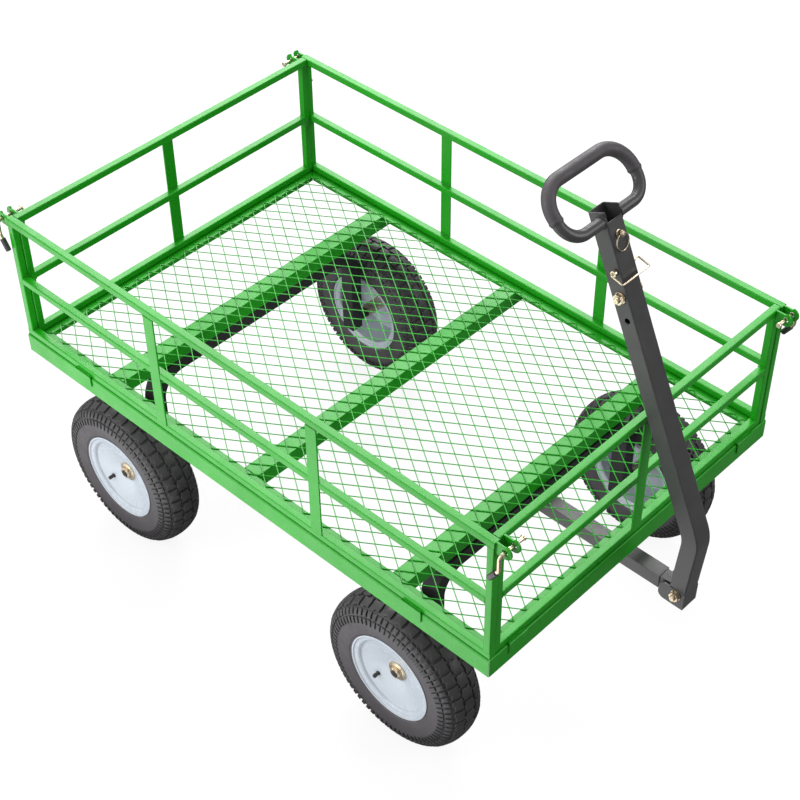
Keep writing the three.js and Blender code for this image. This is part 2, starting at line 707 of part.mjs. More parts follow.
// The tongue's square tube with the relieved lug welded into its front end
function tongue() {
  const half = TONGUE_SIZE / 2;
  const tube = boxBetween(
    [-half, TONGUE_FRONT, TONGUE_Z - half],
    [half, DROP_FRONT - GAP, TONGUE_Z + half],
  );
  const insideHalf = half - TONGUE_WALL;
  const bore = boxBetween(
    [-insideHalf, TONGUE_FRONT + TONGUE_PLUG, TONGUE_Z - insideHalf],
    [insideHalf, DROP_FRONT + PAST, TONGUE_Z + insideHalf],
  );
  const outline = new THREE.Shape();
  const underAngle = 1.5 * Math.PI + LUG_RELIEF;
  const underY = PIVOT_Y + LUG_RADIUS * Math.cos(underAngle);
  const underZ = PIVOT_Z + LUG_RADIUS * Math.sin(underAngle);
  const rearY = TONGUE_FRONT - LUG_ROOT;
  const rearZ = underZ + (rearY - underY) * Math.tan(LUG_RELIEF);
  outline.moveTo(TONGUE_FRONT + LAP, PIVOT_Z + LUG_RADIUS);
  outline.lineTo(PIVOT_Y, PIVOT_Z + LUG_RADIUS);
  outline.absarc(PIVOT_Y, PIVOT_Z, LUG_RADIUS, Math.PI / 2, underAngle);
  outline.lineTo(rearY, rearZ);
  outline.lineTo(TONGUE_FRONT + LAP, PIVOT_Z - LUG_RADIUS);
  const lug = extrudeAlongX(outline, 2 * LUG_HALF_X);
  const bossEnd = CLEVIS_HALF_X - CLEVIS_WALL - GAP;
  const boss = cylinderBetween(
    [-bossEnd, PIVOT_Y, PIVOT_Z],
    [bossEnd, PIVOT_Y, PIVOT_Z],
    LUG_BOSS_RADIUS,
  );
  const drill = cylinderBetween(
    [-CLEVIS_HALF_X, PIVOT_Y, PIVOT_Z],
    [CLEVIS_HALF_X, PIVOT_Y, PIVOT_Z],
    BOLT_RADIUS + GAP,
  );
  return cut(join(cut(tube, bore), lug, boss), drill);
}

// Handle: drawn as [y, z] in the cart's upright frame; the whole handle is then tilted
// forward about its pivot by HANDLE_TILT

function vector2(point) {
  return new THREE.Vector2(point[0], point[1]);
}

const KNEE = vector2(TUBE_FRONT_KNEE);
const TIP = vector2(TUBE_FRONT_TIP);
const UPPER_DIRECTION = TIP.clone().sub(KNEE).normalize();
const FRONT_NORMAL = new THREE.Vector2(-UPPER_DIRECTION.y, UPPER_DIRECTION.x);

// Side view of the handle tube, grown inwards by inset and lengthened past both ends by extra
function handleOutline(inset, extra) {
  const foot = vector2(TUBE_FRONT_FOOT);
  const lower = KNEE.clone().sub(foot).normalize();
  const lowerNormal = new THREE.Vector2(-lower.y, lower.x);
  const depth = TUBE_DEPTH - 2 * inset;
  const bisector = lowerNormal.clone().add(FRONT_NORMAL).normalize();
  const stretch = 1 / bisector.dot(FRONT_NORMAL);
  const frontKnee = KNEE.clone().addScaledVector(bisector, -inset * stretch);
  const backKnee = frontKnee.clone().addScaledVector(bisector, -depth * stretch);
  const footDrop = (point) => {
    const along = (TUBE_BOTTOM_Z - extra - point.y) / lower.y;
    return point.clone().addScaledVector(lower, along);
  };
  const tipFront = TIP.clone().addScaledVector(FRONT_NORMAL, -inset);
  tipFront.addScaledVector(UPPER_DIRECTION, extra);
  const tipBack = tipFront.clone().addScaledVector(FRONT_NORMAL, -depth);
  const bend = Math.tan(Math.abs(lower.angleTo(UPPER_DIRECTION)) / 2);
  const frontReach = (TUBE_BEND + TUBE_DEPTH - inset) * bend;
  const backReach = (TUBE_BEND + inset) * bend;
  const outline = new THREE.Shape();
  const start = footDrop(frontKnee);
  outline.moveTo(start.x, start.y);
  roundCorner(outline, frontKnee, lower, UPPER_DIRECTION, frontReach);
  outline.lineTo(tipFront.x, tipFront.y);
  outline.lineTo(tipBack.x, tipBack.y);
  const down = UPPER_DIRECTION.clone().negate();
  roundCorner(outline, backKnee, down, lower.clone().negate(), backReach);
  const end = footDrop(backKnee);
  outline.lineTo(end.x, end.y);
  return outline;
}

function roundCorner(outline, corner, incoming, outgoing, reach) {
  const enter = corner.clone().addScaledVector(incoming, -reach);
  const leave = corner.clone().addScaledVector(outgoing, reach);
  outline.lineTo(enter.x, enter.y);
  outline.quadraticCurveTo(corner.x, corner.y, leave.x, leave.y);
}

// A point on the upper handle: along its front face down from the tip, and in behind the face
function onHandle(down, behind) {
  const point = TIP.clone().addScaledVector(UPPER_DIRECTION, -down);
  return point.addScaledVector(FRONT_NORMAL, -behind);
}

function acrossHandle([y, z], radius, half = TUBE_WIDTH) {
  return cylinderBetween([-half, y, z], [half, y, z], radius);
}

function throughHandle(down, radius, outside, inside) {
  const from = onHandle(down, -outside);
  const to = onHandle(down, inside);
  return cylinderBetween([0, from.x, from.y], [0, to.x, to.y], radius);
}

function handleTube() {
  const outer = extrudeAlongX(handleOutline(0, 0), TUBE_WIDTH);
  const inner = extrudeAlongX(handleOutline(TUBE_WALL, PAST), TUBE_WIDTH - 2 * TUBE_WALL);
  const mouth = new THREE.Shape([
    onHandle(MOUTH_DEPTH, -PAST),
    onHandle(MOUTH_DEPTH, TUBE_WALL + PAST),
    onHandle(-MOUTH_DEPTH, TUBE_WALL + PAST),
    onHandle(-MOUTH_DEPTH, -PAST),
  ]);
  const mouthWidth = TUBE_WIDTH - 2 * TUBE_WALL - 2 * LAP;
  return cut(
    outer,
    inner,
    extrudeAlongX(mouth, mouthWidth),
    throughHandle(HITCH_PIN_DOWN, HITCH_PIN_RADIUS + LAP, PAST, TUBE_DEPTH + PAST),
    acrossHandle(BAIL_PIN_AT, BAIL_PIN_RADIUS + GAP),
    acrossHandle(CROSS_BOLT_AT, BOLT_RADIUS + GAP),
    acrossHandle(SPARE_HOLE_AT, BOLT_RADIUS),
  );
}

// A U-shaped strap, closed at the front, that straddles the tongue's lug
function handleClevis() {
  const top = TUBE_BOTTOM_Z - GAP;
  const outline = new THREE.Shape();
  outline.moveTo(CLEVIS_FRONT, CLEVIS_BOTTOM);
  outline.lineTo(CLEVIS_REAR - CLEVIS_CORNER, CLEVIS_BOTTOM);
  outline.absarc(
    CLEVIS_REAR - CLEVIS_CORNER,
    CLEVIS_BOTTOM + CLEVIS_CORNER,
    CLEVIS_CORNER,
    1.5 * Math.PI,
    2 * Math.PI,
  );
  outline.lineTo(CLEVIS_REAR, top - CLEVIS_CORNER);
  outline.absarc(CLEVIS_REAR - CLEVIS_CORNER, top - CLEVIS_CORNER, CLEVIS_CORNER, 0, Math.PI / 2);
  outline.lineTo(CLEVIS_FRONT, top);
  const inside = CLEVIS_HALF_X - CLEVIS_WALL;
  const slot = boxBetween(
    [-inside, CLEVIS_FRONT + CLEVIS_WALL, CLEVIS_BOTTOM - PAST],
    [inside, CLEVIS_REAR + PAST, top + PAST],
  );
  const drill = acrossHandle([PIVOT_Y, PIVOT_Z], BOLT_RADIUS + GAP);
  return cut(extrudeAlongX(outline, 2 * CLEVIS_HALF_X, CORNER_STEPS), slot, drill);
}

// A hexagon-headed bolt about X at [y, z], with its head on the right and its nut run up on the left
function crossBolt([y, z], radius, hexRadius, halfGrip) {
  const face = halfGrip + GAP;
  const shank = cylinderBetween([-face - BOLT_NUT - BOLT_TAIL, y, z], [face + LAP, y, z], radius);
  const head = cylinderBetween([face, y, z], [face + BOLT_HEAD, y, z], hexRadius, HEX_SIDES);
  const nut = cylinderBetween([-face - BOLT_NUT, y, z], [-face, y, z], hexRadius, HEX_SIDES);
  return join(shank, head, nut);
}

// The loop's centre line in its own plane, from one side of the tube round to the other
function loopPath() {
  const start = TUBE_WIDTH / 2 + GAP;
  return roundedPath([
    [-start, 0, 0],
    [-LOOP_HALF_X, 0, 0],
    [-LOOP_HALF_X, LOOP_HEIGHT, 0],
    [LOOP_HALF_X, LOOP_HEIGHT, 0],
    [LOOP_HALF_X, 0, 0],
    [start, 0, 0],
  ], LOOP_HEIGHT / 2);
}

function leanLoop(geometry) {
  return geometry.rotateX(LOOP_LEAN).translate(0, ...LOOP_FOOT);
}

function gripLoop() {
  return leanLoop(rodAlong(loopPath(), LOOP_RADIUS, LOOP_STEPS));
}

function gripCover() {
  const from = COVER_SKIPS / LOOP_STEPS;
  const stretch = new Stretch(loopPath(), from, 1 - from);
  const bore = LOOP_RADIUS + COVER_CLEARANCE;
  return leanLoop(sleeveAlong(stretch, COVER_RADIUS, bore, LOOP_STEPS - 2 * COVER_SKIPS));
}

function bailPin() {
  const [y, z] = BAIL_PIN_AT;
  const face = TUBE_WIDTH / 2 + GAP;
  return join(
    cylinderBetween([-BAIL_PIN_HALF, y, z], [BAIL_PIN_HALF, y, z], BAIL_PIN_RADIUS),
    cylinderBetween([-BAIL_PIN_HALF, y, z], [-face, y, z], BAIL_HEAD_RADIUS),
  );
}

// A spring-wire bail from one end of its pin, across the handle's front face, to the other
function bailWire() {
  const pin = vector2(BAIL_PIN_AT);
  const bar = pin.clone().addScaledVector(FRONT_NORMAL, BAIL_FORWARD);
  bar.addScaledVector(UPPER_DIRECTION, -BAIL_DOWN);
  const end = BAIL_PIN_HALF + GAP;
  return rodAlong(roundedPath([
    [-end, pin.x, pin.y],
    [BAIL_LEFT_X, pin.x, pin.y],
    [BAIL_LEFT_X, bar.x, bar.y],
    [BAIL_RIGHT_X, bar.x, bar.y],
    [BAIL_RIGHT_X, pin.x, pin.y],
    [end, pin.x, pin.y],
  ], BAIL_BEND), BAIL_WIRE, LOOP_STEPS, WIRE_SIDES);
}

function hitchPin() {
  const shank = throughHandle(
    HITCH_PIN_DOWN,
    HITCH_PIN_RADIUS,
    HITCH_HEAD_HEIGHT / 2,
    TUBE_DEPTH + HITCH_PIN_TAIL,
  );
  const head = throughHandle(HITCH_PIN_DOWN, HITCH_HEAD_RADIUS, HITCH_HEAD_HEIGHT, -GAP);
  const eye = onHandle(HITCH_PIN_DOWN, -HITCH_EYE_OFF);
  return cut(join(shank, head), acrossHandle([eye.x, eye.y], HITCH_EYE, TUBE_WIDTH / 2));
}

// The pull ring hangs from the pin's eye and leans on the handle's front face
function hitchRing() {
  const eye = onHandle(HITCH_PIN_DOWN, -HITCH_EYE_OFF);
  const hang = UPPER_DIRECTION.clone().multiplyScalar(-Math.cos(RING_LEAN));
  hang.addScaledVector(FRONT_NORMAL, -Math.sin(RING_LEAN));
  const ring = new THREE.TorusGeometry(RING_RADIUS, RING_WIRE, WIRE_SIDES, WHEEL_SIDES);
  const across = new THREE.Vector3(0, hang.x, hang.y);
  const facing = new THREE.Vector3().crossVectors(AXIS_X, across);
  ring.applyMatrix4(new THREE.Matrix4().makeBasis(AXIS_X, across, facing));
  const drop = RING_RADIUS - LAP;
  return ring.translate(0, eye.x + hang.x * drop, eye.y + hang.y * drop);
}

// Assembly

const cart = new THREE.Group();

function place(parent, name, geometry, material) {
  const mesh = new THREE.Mesh(geometry, material);
  mesh.name = name;
  parent.add(mesh);
  return mesh;
}

function placeFrame() {
  place(cart, 'frame_rail_right', frameRail(BED_LENGTH, HALF_WIDTH), GREEN);
  place(cart, 'frame_rail_left', frameRail(BED_LENGTH, HALF_WIDTH), GREEN).rotation.z = Math.PI;
  place(cart, 'frame_rail_front', frameRail(BED_WIDTH, HALF_LENGTH), GREEN).rotation.z = -Math.PI / 2;
  place(cart, 'frame_rail_rear', frameRail(BED_WIDTH, HALF_LENGTH), GREEN).rotation.z = Math.PI / 2;
  place(cart, 'crossmember_front', crossMember(KINGPIN_RADIUS + GAP), GREEN).position.y = FRONT_Y;
  place(cart, 'crossmember_middle', crossMember(), GREEN);
  place(cart, 'crossmember_rear', crossMember(), GREEN).position.y = REAR_Y;
  place(cart, 'deck_mesh', deckMesh(), GREEN);
}

function placePanels() {
  place(cart, 'side_panel_left', longPanel(), GREEN);
  place(cart, 'side_panel_right', longPanel(), GREEN).rotation.z = Math.PI;
  place(cart, 'end_panel_front', endPanel(), GREEN);
  place(cart, 'end_panel_rear', endPanel(), GREEN).rotation.z = Math.PI;
}

function placeLatches() {
  for (const [endName, sideY] of [['front', -1], ['rear', 1]]) {
    for (const [sideName, sideX] of [['left', -1], ['right', 1]]) {
      place(cart, `latch_rod_${endName}_${sideName}`, latchRod(sideX, sideY), ZINC);
      place(cart, `latch_cap_${endName}_${sideName}`, latchCap(sideX, sideY), VINYL);
    }
  }
}

function placeWheels() {
  for (const [endName, y] of [['front', FRONT_Y], ['rear', REAR_Y]]) {
    for (const [sideName, sideX] of [['left', -1], ['right', 1]]) {
      const corner = new THREE.Group();
      corner.position.set(sideX * WHEEL_X, y, WHEEL_RADIUS);
      corner.rotation.z = sideX > 0 ? 0 : Math.PI;
      const name = `${endName}_${sideName}`;
      place(corner, `tyre_${name}`, tyre(), RUBBER);
      place(corner, `rim_${name}`, rim(), WHITE);
      place(corner, `hub_bearing_${name}`, hub(), ZINC);
      place(corner, `valve_stem_${name}`, valveStem(), VINYL)
        .position.set(0, sideX * VALVE_BACK, -VALVE_DOWN);
      place(corner, `stub_axle_${name}`, stubAxle(), CHARCOAL);
      place(corner, `axle_nut_${name}`, axleNut(), ZINC);
      cart.add(corner);
    }
  }
}

function placeUndercarriage() {
  place(cart, 'rear_axle', rearAxle(), CHARCOAL);
  place(cart, 'front_axle', frontAxle(), CHARCOAL);
  place(cart, 'turntable_upper_plate', turntablePlate(UPPER_PLATE_Z), CHARCOAL);
  place(cart, 'turntable_lower_plate', turntablePlate(LOWER_PLATE_Z), CHARCOAL);
  place(cart, 'kingpin_bolt', kingpinBolt(), ZINC);
  place(cart, 'tongue', tongue(), CHARCOAL);
}

function placeHandle() {
  const pivot = new THREE.Group();
  pivot.position.set(0, PIVOT_Y, PIVOT_Z);
  pivot.rotation.x = HANDLE_TILT;
  const handle = new THREE.Group();
  handle.position.set(0, -PIVOT_Y, -PIVOT_Z);
  pivot.add(handle);
  cart.add(pivot);
  place(handle, 'handle_tube', handleTube(), CHARCOAL);
  place(handle, 'handle_clevis', handleClevis(), CHARCOAL);
  const pivotBolt = crossBolt([PIVOT_Y, PIVOT_Z], BOLT_RADIUS, BOLT_HEX, CLEVIS_HALF_X);
  place(handle, 'handle_pivot_bolt', pivotBolt, ZINC);
  place(handle, 'grip_loop', gripLoop(), CHARCOAL);
  place(handle, 'grip_cover', gripCover(), RUBBER);
  place(handle, 'bail_pin', bailPin(), ZINC);
  place(handle, 'bail_wire', bailWire(), ZINC);
  const tubeBolt = crossBolt(CROSS_BOLT_AT, BOLT_RADIUS, BOLT_HEX, TUBE_WIDTH / 2);
  place(handle, 'handle_cross_bolt', tubeBolt, ZINC);
  place(handle, 'hitch_pin', hitchPin(), ZINC);
  place(handle, 'hitch_ring', hitchRing(), ZINC);
}

placeFrame();
placePanels();
placeLatches();
placeWheels();
placeUndercarriage();
placeHandle();

// The origin is on the ground below the middle of the whole cart's box
const box = new THREE.Box3().setFromObject(cart);
const middle = box.getCenter(new THREE.Vector3());
cart.position.set(-middle.x, -middle.y, -box.min.z);

export default cart;
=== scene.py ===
"""Looks of a four-wheeled mesh garden cart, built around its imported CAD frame.

Metres. +Z is up, -Y is the front (the handle's end), +X is the cart's right.
"""

import random
from math import atan2, copysign, cos, exp, hypot, pi, radians, sin, tan

import bmesh
import bpy
from mathutils import Matrix, Quaternion, Vector, noise


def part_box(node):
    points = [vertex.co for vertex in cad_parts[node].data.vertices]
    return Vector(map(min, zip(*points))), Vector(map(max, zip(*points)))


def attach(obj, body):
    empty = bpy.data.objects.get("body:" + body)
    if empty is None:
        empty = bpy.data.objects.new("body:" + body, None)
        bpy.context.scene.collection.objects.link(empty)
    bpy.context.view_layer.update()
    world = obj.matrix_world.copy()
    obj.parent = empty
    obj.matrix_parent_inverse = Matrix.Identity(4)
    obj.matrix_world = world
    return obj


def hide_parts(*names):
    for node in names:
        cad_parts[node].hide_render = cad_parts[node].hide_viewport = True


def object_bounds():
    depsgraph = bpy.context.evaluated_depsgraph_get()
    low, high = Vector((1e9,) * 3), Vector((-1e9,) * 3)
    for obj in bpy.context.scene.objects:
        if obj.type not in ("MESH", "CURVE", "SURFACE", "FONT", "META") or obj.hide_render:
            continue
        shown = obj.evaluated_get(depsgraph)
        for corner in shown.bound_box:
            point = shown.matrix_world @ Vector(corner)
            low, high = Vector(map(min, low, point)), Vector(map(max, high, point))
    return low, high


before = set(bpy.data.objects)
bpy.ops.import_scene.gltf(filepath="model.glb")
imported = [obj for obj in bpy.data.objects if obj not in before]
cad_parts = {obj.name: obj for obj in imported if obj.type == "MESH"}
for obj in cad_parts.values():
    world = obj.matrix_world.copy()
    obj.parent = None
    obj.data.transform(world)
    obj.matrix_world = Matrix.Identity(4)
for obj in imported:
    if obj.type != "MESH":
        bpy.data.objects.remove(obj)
cad_low, cad_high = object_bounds()

MM = 0.001
TAU = 2 * pi
X_AXIS = Vector((1, 0, 0))
Y_AXIS = Vector((0, 1, 0))
Z_AXIS = Vector((0, 0, 1))
# The signs of a square's corners, in order
SQUARE = [(-1, -1), (1, -1), (1, 1), (-1, 1)]
# Each corner's name, and its side in x and in y
CORNERS = (("front_left", -1, -1), ("front_right", 1, -1), ("rear_left", -1, 1), ("rear_right", 1, 1))

# Places taken from the frame
bed_right_low, bed_right_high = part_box("frame_rail_right")
BED_INNER_X = bed_right_low.x
BED_HALF_X = bed_right_high.x
BED_TOP = bed_right_high.z
BED_FRONT_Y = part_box("frame_rail_front")[0].y
BED_REAR_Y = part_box("frame_rail_rear")[1].y
BED_MID_Y = (BED_FRONT_Y + BED_REAR_Y) / 2
BED_HALF_Y = (BED_REAR_Y - BED_FRONT_Y) / 2
PANEL_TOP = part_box("end_panel_front")[1].z

# Clearance between pieces that rest on each other
GAP = 0.3 * MM

# Deck of expanded metal
DECK_STRANDS = 45
DECK_ROWS = 48
STRAND_WIDTH = 2.3 * MM
STRAND_THICK = 1.6 * MM
STRAND_TWIST = radians(12)
BOND_HALF = 1.3 * MM

# Sizes of the square-tube panels
RAIL = 16 * MM
RAIL_CORNER = 2.2 * MM
PANEL_BOTTOM = BED_TOP + GAP
MID_RAIL_TOP = PANEL_TOP - 148.8 * MM
LONG_PANEL_OUT = 425.7 * MM
LONG_PANEL_HALF = 657.5 * MM
END_PANEL_OUT = 655.5 * MM
END_PANEL_HALF = LONG_PANEL_OUT - RAIL - GAP
BAR_WIDTH = 28 * MM
BAR_THICK = 3.5 * MM
BAR_PROUD = 1 * MM
TAB_WIDTH = 50 * MM
TAB_THICK = 3 * MM
TAB_TOP = BED_TOP + 3.5 * MM
TAB_BOTTOM = BED_TOP - 22 * MM
LONG_BAR_X = 222 * MM
LONG_TAB_X = 471 * MM
END_TAB_X = 350 * MM

# Corner latches
EAR_THICK = 4 * MM
EAR_RADIUS = 15 * MM
EAR_HOLE = 6.25 * MM
EAR_Z = PANEL_TOP - 11.8 * MM
EAR_REACH = BED_HALF_Y + 17 * MM
OUTER_EAR_X = 419 * MM
INNER_EAR_X = 397 * MM
LATCH_ROD = 4 * MM
LATCH_INNER_X = 372 * MM
LATCH_OUTER_X = 434 * MM
LATCH_KNEE_Z = PANEL_TOP - 45.8 * MM
LATCH_TIP_Z = PANEL_TOP - 76.8 * MM
LATCH_TIP_BACK = 20 * MM
LATCH_BEND = 9 * MM

# Wheels and axles
TREAD_BASE = 173.2 * MM
TREAD_PITCHES = 36
BLOCK_ROOT = 1.2 * MM
BLOCK_CHAMFER = 0.9 * MM
BLOCK_TAPER = 0.35 * MM
BLOCK_STEP = 6 * MM
SIDEWALL_FROM = 96 * MM
SIDEWALL_TO = 141 * MM
NUT_CHAMFER = 0.12
THREAD_PITCH = 1.5 * MM
THREAD_DEPTH = 0.7 * MM
STUB_WELD = 12.3 * MM
SHANK_LIMIT = 11 * MM
SHANK_SHARE = 0.965
TONGUE_HALF = 16 * MM
TONGUE_MIDDLE_Z = 372 * MM

# Degrees between faces above which an edge is drawn sharp
CREASE = 38
WELD_CREASE = 60


# Shapes: each is (points, faces)

def combine(*shapes):
    points, faces = [], []
    for shape_points, shape_faces in shapes:
        offset = len(points)
        points.extend(shape_points)
        faces.extend([index + offset for index in face] for face in shape_faces)
    return points, faces


def moved(shape, matrix):
    return [matrix @ point for point in shape[0]], shape[1]


def mirrored(shape, side_x, side_y):
    """The shape with x and y multiplied by 1 or -1; y is mirrored about the bed's middle."""
    points = [Vector((p.x * side_x, BED_MID_Y + (p.y - BED_MID_Y) * side_y, p.z)) for p in shape[0]]
    return points, shape[1]


def rounded(points, radius, steps=5, closed=True):
    """A line through the points with its corners turned into arcs.

    The radius is one number, or a list with one for each corner.
    """
    corners = [Vector(point) for point in points]
    radii = list(radius) if isinstance(radius, list) else [radius] * len(corners)
    if not closed:
        radii[0] = radii[-1] = 0
    result = []
    for index, corner in enumerate(corners):
        if radii[index] == 0:
            result.append(corner)
            continue
        back = corners[index - 1] - corner
        ahead = corners[(index + 1) % len(corners)] - corner
        half = back.angle(ahead) / 2
        reach = min(radii[index] / tan(half), 0.499 * back.length, 0.499 * ahead.length)
        enter = corner + back.normalized() * reach
        leave = corner + ahead.normalized() * reach
        inward = (back.normalized() + ahead.normalized()).normalized()
        centre = corner + inward * (reach / cos(half))
        start, end = enter - centre, leave - centre
        turn = start.angle(end)
        for step in range(steps + 1):
            share = step / steps
            first = sin((1 - share) * turn) / sin(turn)
            second = sin(share * turn) / sin(turn)
            result.append(centre + start * first + end * second)
    return result


def outline_mm(corners, radius, steps=5, closed=True):
    """What rounded() gives for flat corners and radii in millimetres."""
    radii = [r * MM for r in radius] if isinstance(radius, list) else radius * MM
    return rounded([(x * MM, y * MM) for x, y in corners], radii, steps, closed)


def distances(path):
    """How far along a path each of its points lies."""
    reach = [0]
    for a, b in zip(path, path[1:]):
        reach.append(reach[-1] + (b - a).length)
    return reach


def circle(radius, steps):
    return [(radius * cos(TAU * k / steps), radius * sin(TAU * k / steps)) for k in range(steps)]


def box_outline(width, height, radius, steps=3):
    x, y = width / 2, height / 2
    return [tuple(p) for p in rounded([(-x, -y), (x, -y), (x, y), (-x, y)], radius, steps)]


def lathe(profile, steps, closed=True):
    """Turns (radius, along) points about X; a point on the axis closes an end."""
    points, rings = [], []
    for radius, along in profile:
        first = len(points)
        if abs(radius) < 1e-7:
            points.append(Vector((along, 0, 0)))
            rings.append([first])
            continue
        points.extend(Vector((along, y, z)) for y, z in circle(radius, steps))
        rings.append(list(range(first, first + steps)))
    faces = []
    pairs = list(zip(rings, rings[1:] + ([rings[0]] if closed else [])))
    for ring, following in pairs:
        for k in range(steps):
            ahead = (k + 1) % steps
            quad = [ring[k % len(ring)], ring[ahead % len(ring)]]
            quad += [following[ahead % len(following)], following[k % len(following)]]
            face = list(dict.fromkeys(quad))
            if len(face) > 2:
                faces.append(face)
    return points, faces


def turned(profile, steps, start, direction):
    """A lathed solid whose axis runs from start in a direction."""
    turn = X_AXIS.rotation_difference(Vector(direction)).to_matrix().to_4x4()
    return moved(lathe(profile, steps, closed=False), Matrix.Translation(start) @ turn)


def rod_between(start, end, radius):
    length = (end - start).length
    return turned([(0, 0), (radius, 0), (radius, length), (0, length)], 24, start, end - start)


def bands(count, rings, closed=False):
    """Faces between rings of count points each; closed joins the last ring to the first."""
    faces = []
    for number in range(rings if closed else rings - 1):
        near, far = number * count, (number + 1) % rings * count
        for k in range(count):
            ahead = (k + 1) % count
            faces.append([near + k, near + ahead, far + ahead, far + k])
    return faces


def sweep(path, section, side=X_AXIS):
    """Sweeps an outline of (sideways, upwards) points along a path.

    The section may also be a function that gives the outline at a share of the way.
    """
    path = [Vector(point) for point in path]
    last = len(path) - 1
    tangents = []
    for index in range(len(path)):
        tangents.append((path[min(index + 1, last)] - path[max(index - 1, 0)]).normalized())
    across = (side - tangents[0] * side.dot(tangents[0])).normalized()
    points = []
    for index, (point, tangent) in enumerate(zip(path, tangents)):
        if index:
            across = tangents[index - 1].rotation_difference(tangent) @ across
            across = (across - tangent * across.dot(tangent)).normalized()
        upwards = tangent.cross(across)
        outline = section(index / last) if callable(section) else section
        points.extend(point + across * a + upwards * b for a, b in outline)
    count = len(outline)
    ends = [list(range(count - 1, -1, -1)), list(range(len(points) - count, len(points)))]
    return points, ends + bands(count, len(path))


def between(start, end, steps):
    """Evenly spaced points from start to end."""
    start, end = Vector(start), Vector(end)
    return [start.lerp(end, step / steps) for step in range(steps + 1)]


def rounded_box(low, high, radius):
    """A box with every edge rounded."""
    low, high = Vector(low), Vector(high)
    size, centre = high - low, (high + low) / 2
    bm = bmesh.new()
    bmesh.ops.create_cube(bm, size=1)
    bmesh.ops.scale(bm, vec=size, verts=bm.verts)
    bmesh.ops.translate(bm, vec=centre, verts=bm.verts)
    reach = min(radius, 0.45 * min(size))
    bmesh.ops.bevel(bm, geom=bm.edges[:], offset=reach, segments=3, profile=0.5, affect="EDGES")
    bm.verts.index_update()
    shape = [v.co.copy() for v in bm.verts], [[v.index for v in f.verts] for f in bm.faces]
    bm.free()
    return shape


def plate_with_hole(outline, centre, hole, thick, chamfer):
    """A plate in the Y-Z plane, centred on x = 0, with a round hole. The outline is convex."""
    centre = Vector(centre)
    corners = [Vector(p) for p in outline]
    face, edge = thick / 2, thick / 2 - chamfer
    rings = [[] for _ in range(8)]
    for angle in sorted({atan2((c - centre).y, (c - centre).x) for c in corners}):
        direction = Vector((cos(angle), sin(angle)))
        aligned = [c for c in corners if (c - centre).angle(direction) < 1e-3]
        far = max(aligned, key=lambda c: (c - centre).length)
        near = far - direction * chamfer
        bore, lip = centre + direction * hole, centre + direction * (hole + chamfer)
        stations = [(near, face), (far, edge), (far, -edge), (near, -face)]
        stations += [(lip, -face), (bore, -edge), (bore, edge), (lip, face)]
        for ring, (point, x) in zip(rings, stations):
            ring.append(Vector((x, point.x, point.y)))
    return [point for ring in rings for point in ring], bands(len(rings[0]), len(rings), closed=True)


def weld(path, radius, seed, side=Z_AXIS):
    """A weld bead: a rippled, slightly wandering round run along the path, with tapered ends."""
    rng = random.Random(seed)
    path = [Vector(p) for p in path]
    length = distances(path)[-1]
    steps = max(6, int(length / (0.55 * radius)))
    fine = []
    for a, b in zip(path, path[1:]):
        pieces = max(2, round(steps * (b - a).length / length))
        fine.extend(a.lerp(b, k / pieces) for k in range(pieces))
    fine.append(path[-1])
    jitter = [Vector([rng.uniform(-0.12, 0.12) * radius for _ in range(3)]) for _ in fine]
    fine = [p + j for p, j in zip(fine, jitter)]
    phase = rng.uniform(0, TAU)

    def section(share):
        ripple = 1 + 0.16 * sin(phase + share * length / radius * 2.4)
        taper = 0.45 + 0.55 * min(1, 9 * share, 9 * (1 - share))
        return circle(radius * ripple * taper, 8)

    return sweep(fine, section, side)


def add_object(name, data):
    thing = bpy.data.objects.new(name, data)
    bpy.context.scene.collection.objects.link(thing)
    return thing


def shade_smooth(mesh, crease=None):
    mesh.polygons.foreach_set("use_smooth", [True] * len(mesh.polygons))
    if crease:
        mesh.set_sharp_from_angle(angle=radians(crease))


def to_mesh(name, shape, crease=CREASE):
    points, faces = shape
    mesh = bpy.data.meshes.new(name)
    mesh.from_pydata([tuple(p) for p in points], [], faces)
    bm = bmesh.new()
    bm.from_mesh(mesh)
    bmesh.ops.recalc_face_normals(bm, faces=bm.faces)
    bm.to_mesh(mesh)
    bm.free()
    shade_smooth(mesh, crease)
    return mesh


def carved(name, body, cutters):
    """A mesh of the body with the cutters taken away."""
    base = add_object(name, to_mesh(name + "_whole", body))
    tools = [add_object("cutter", to_mesh("cutter", cutter)) for cutter in cutters]
    for tool in tools:
        step = base.modifiers.new("cut", "BOOLEAN")
        step.object = tool
        step.solver = "EXACT"
    ready = base.evaluated_get(bpy.context.evaluated_depsgraph_get())
    mesh = bpy.data.meshes.new_from_object(ready)
    for thing in [base, *tools]:
        bpy.data.objects.remove(thing)
    mesh.name = name
    mesh.materials.clear()
    shade_smooth(mesh, CREASE)
    return mesh


def add_piece(name, shape, body, nodes, material, matrix=None, crease=CREASE):
    """Puts a shape or a mesh in the scene as a piece that rides on a body and stands for CAD nodes."""
    mesh = to_mesh(name, shape, crease) if isinstance(shape, tuple) else shape
    piece = add_object(name, mesh)
    if matrix is not None:
        piece.matrix_world = matrix
    if not mesh.materials:
        mesh.materials.append(material)
    weighted = piece.modifiers.new("even_normals", "WEIGHTED_NORMAL")
    weighted.keep_sharp = True
    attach(piece, body)
    if nodes:
        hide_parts(*nodes)
    return piece


def round_edges(piece, width, segments, angle):
    """Bevels the piece's edges, before its normals are evened."""
    bevel = piece.modifiers.new("rounded_edges", "BEVEL")
    bevel.width = width
    bevel.segments = segments
    bevel.limit_method = "ANGLE"
    bevel.angle_limit = radians(angle)
    piece.modifiers.move(1, 0)
    return bevel


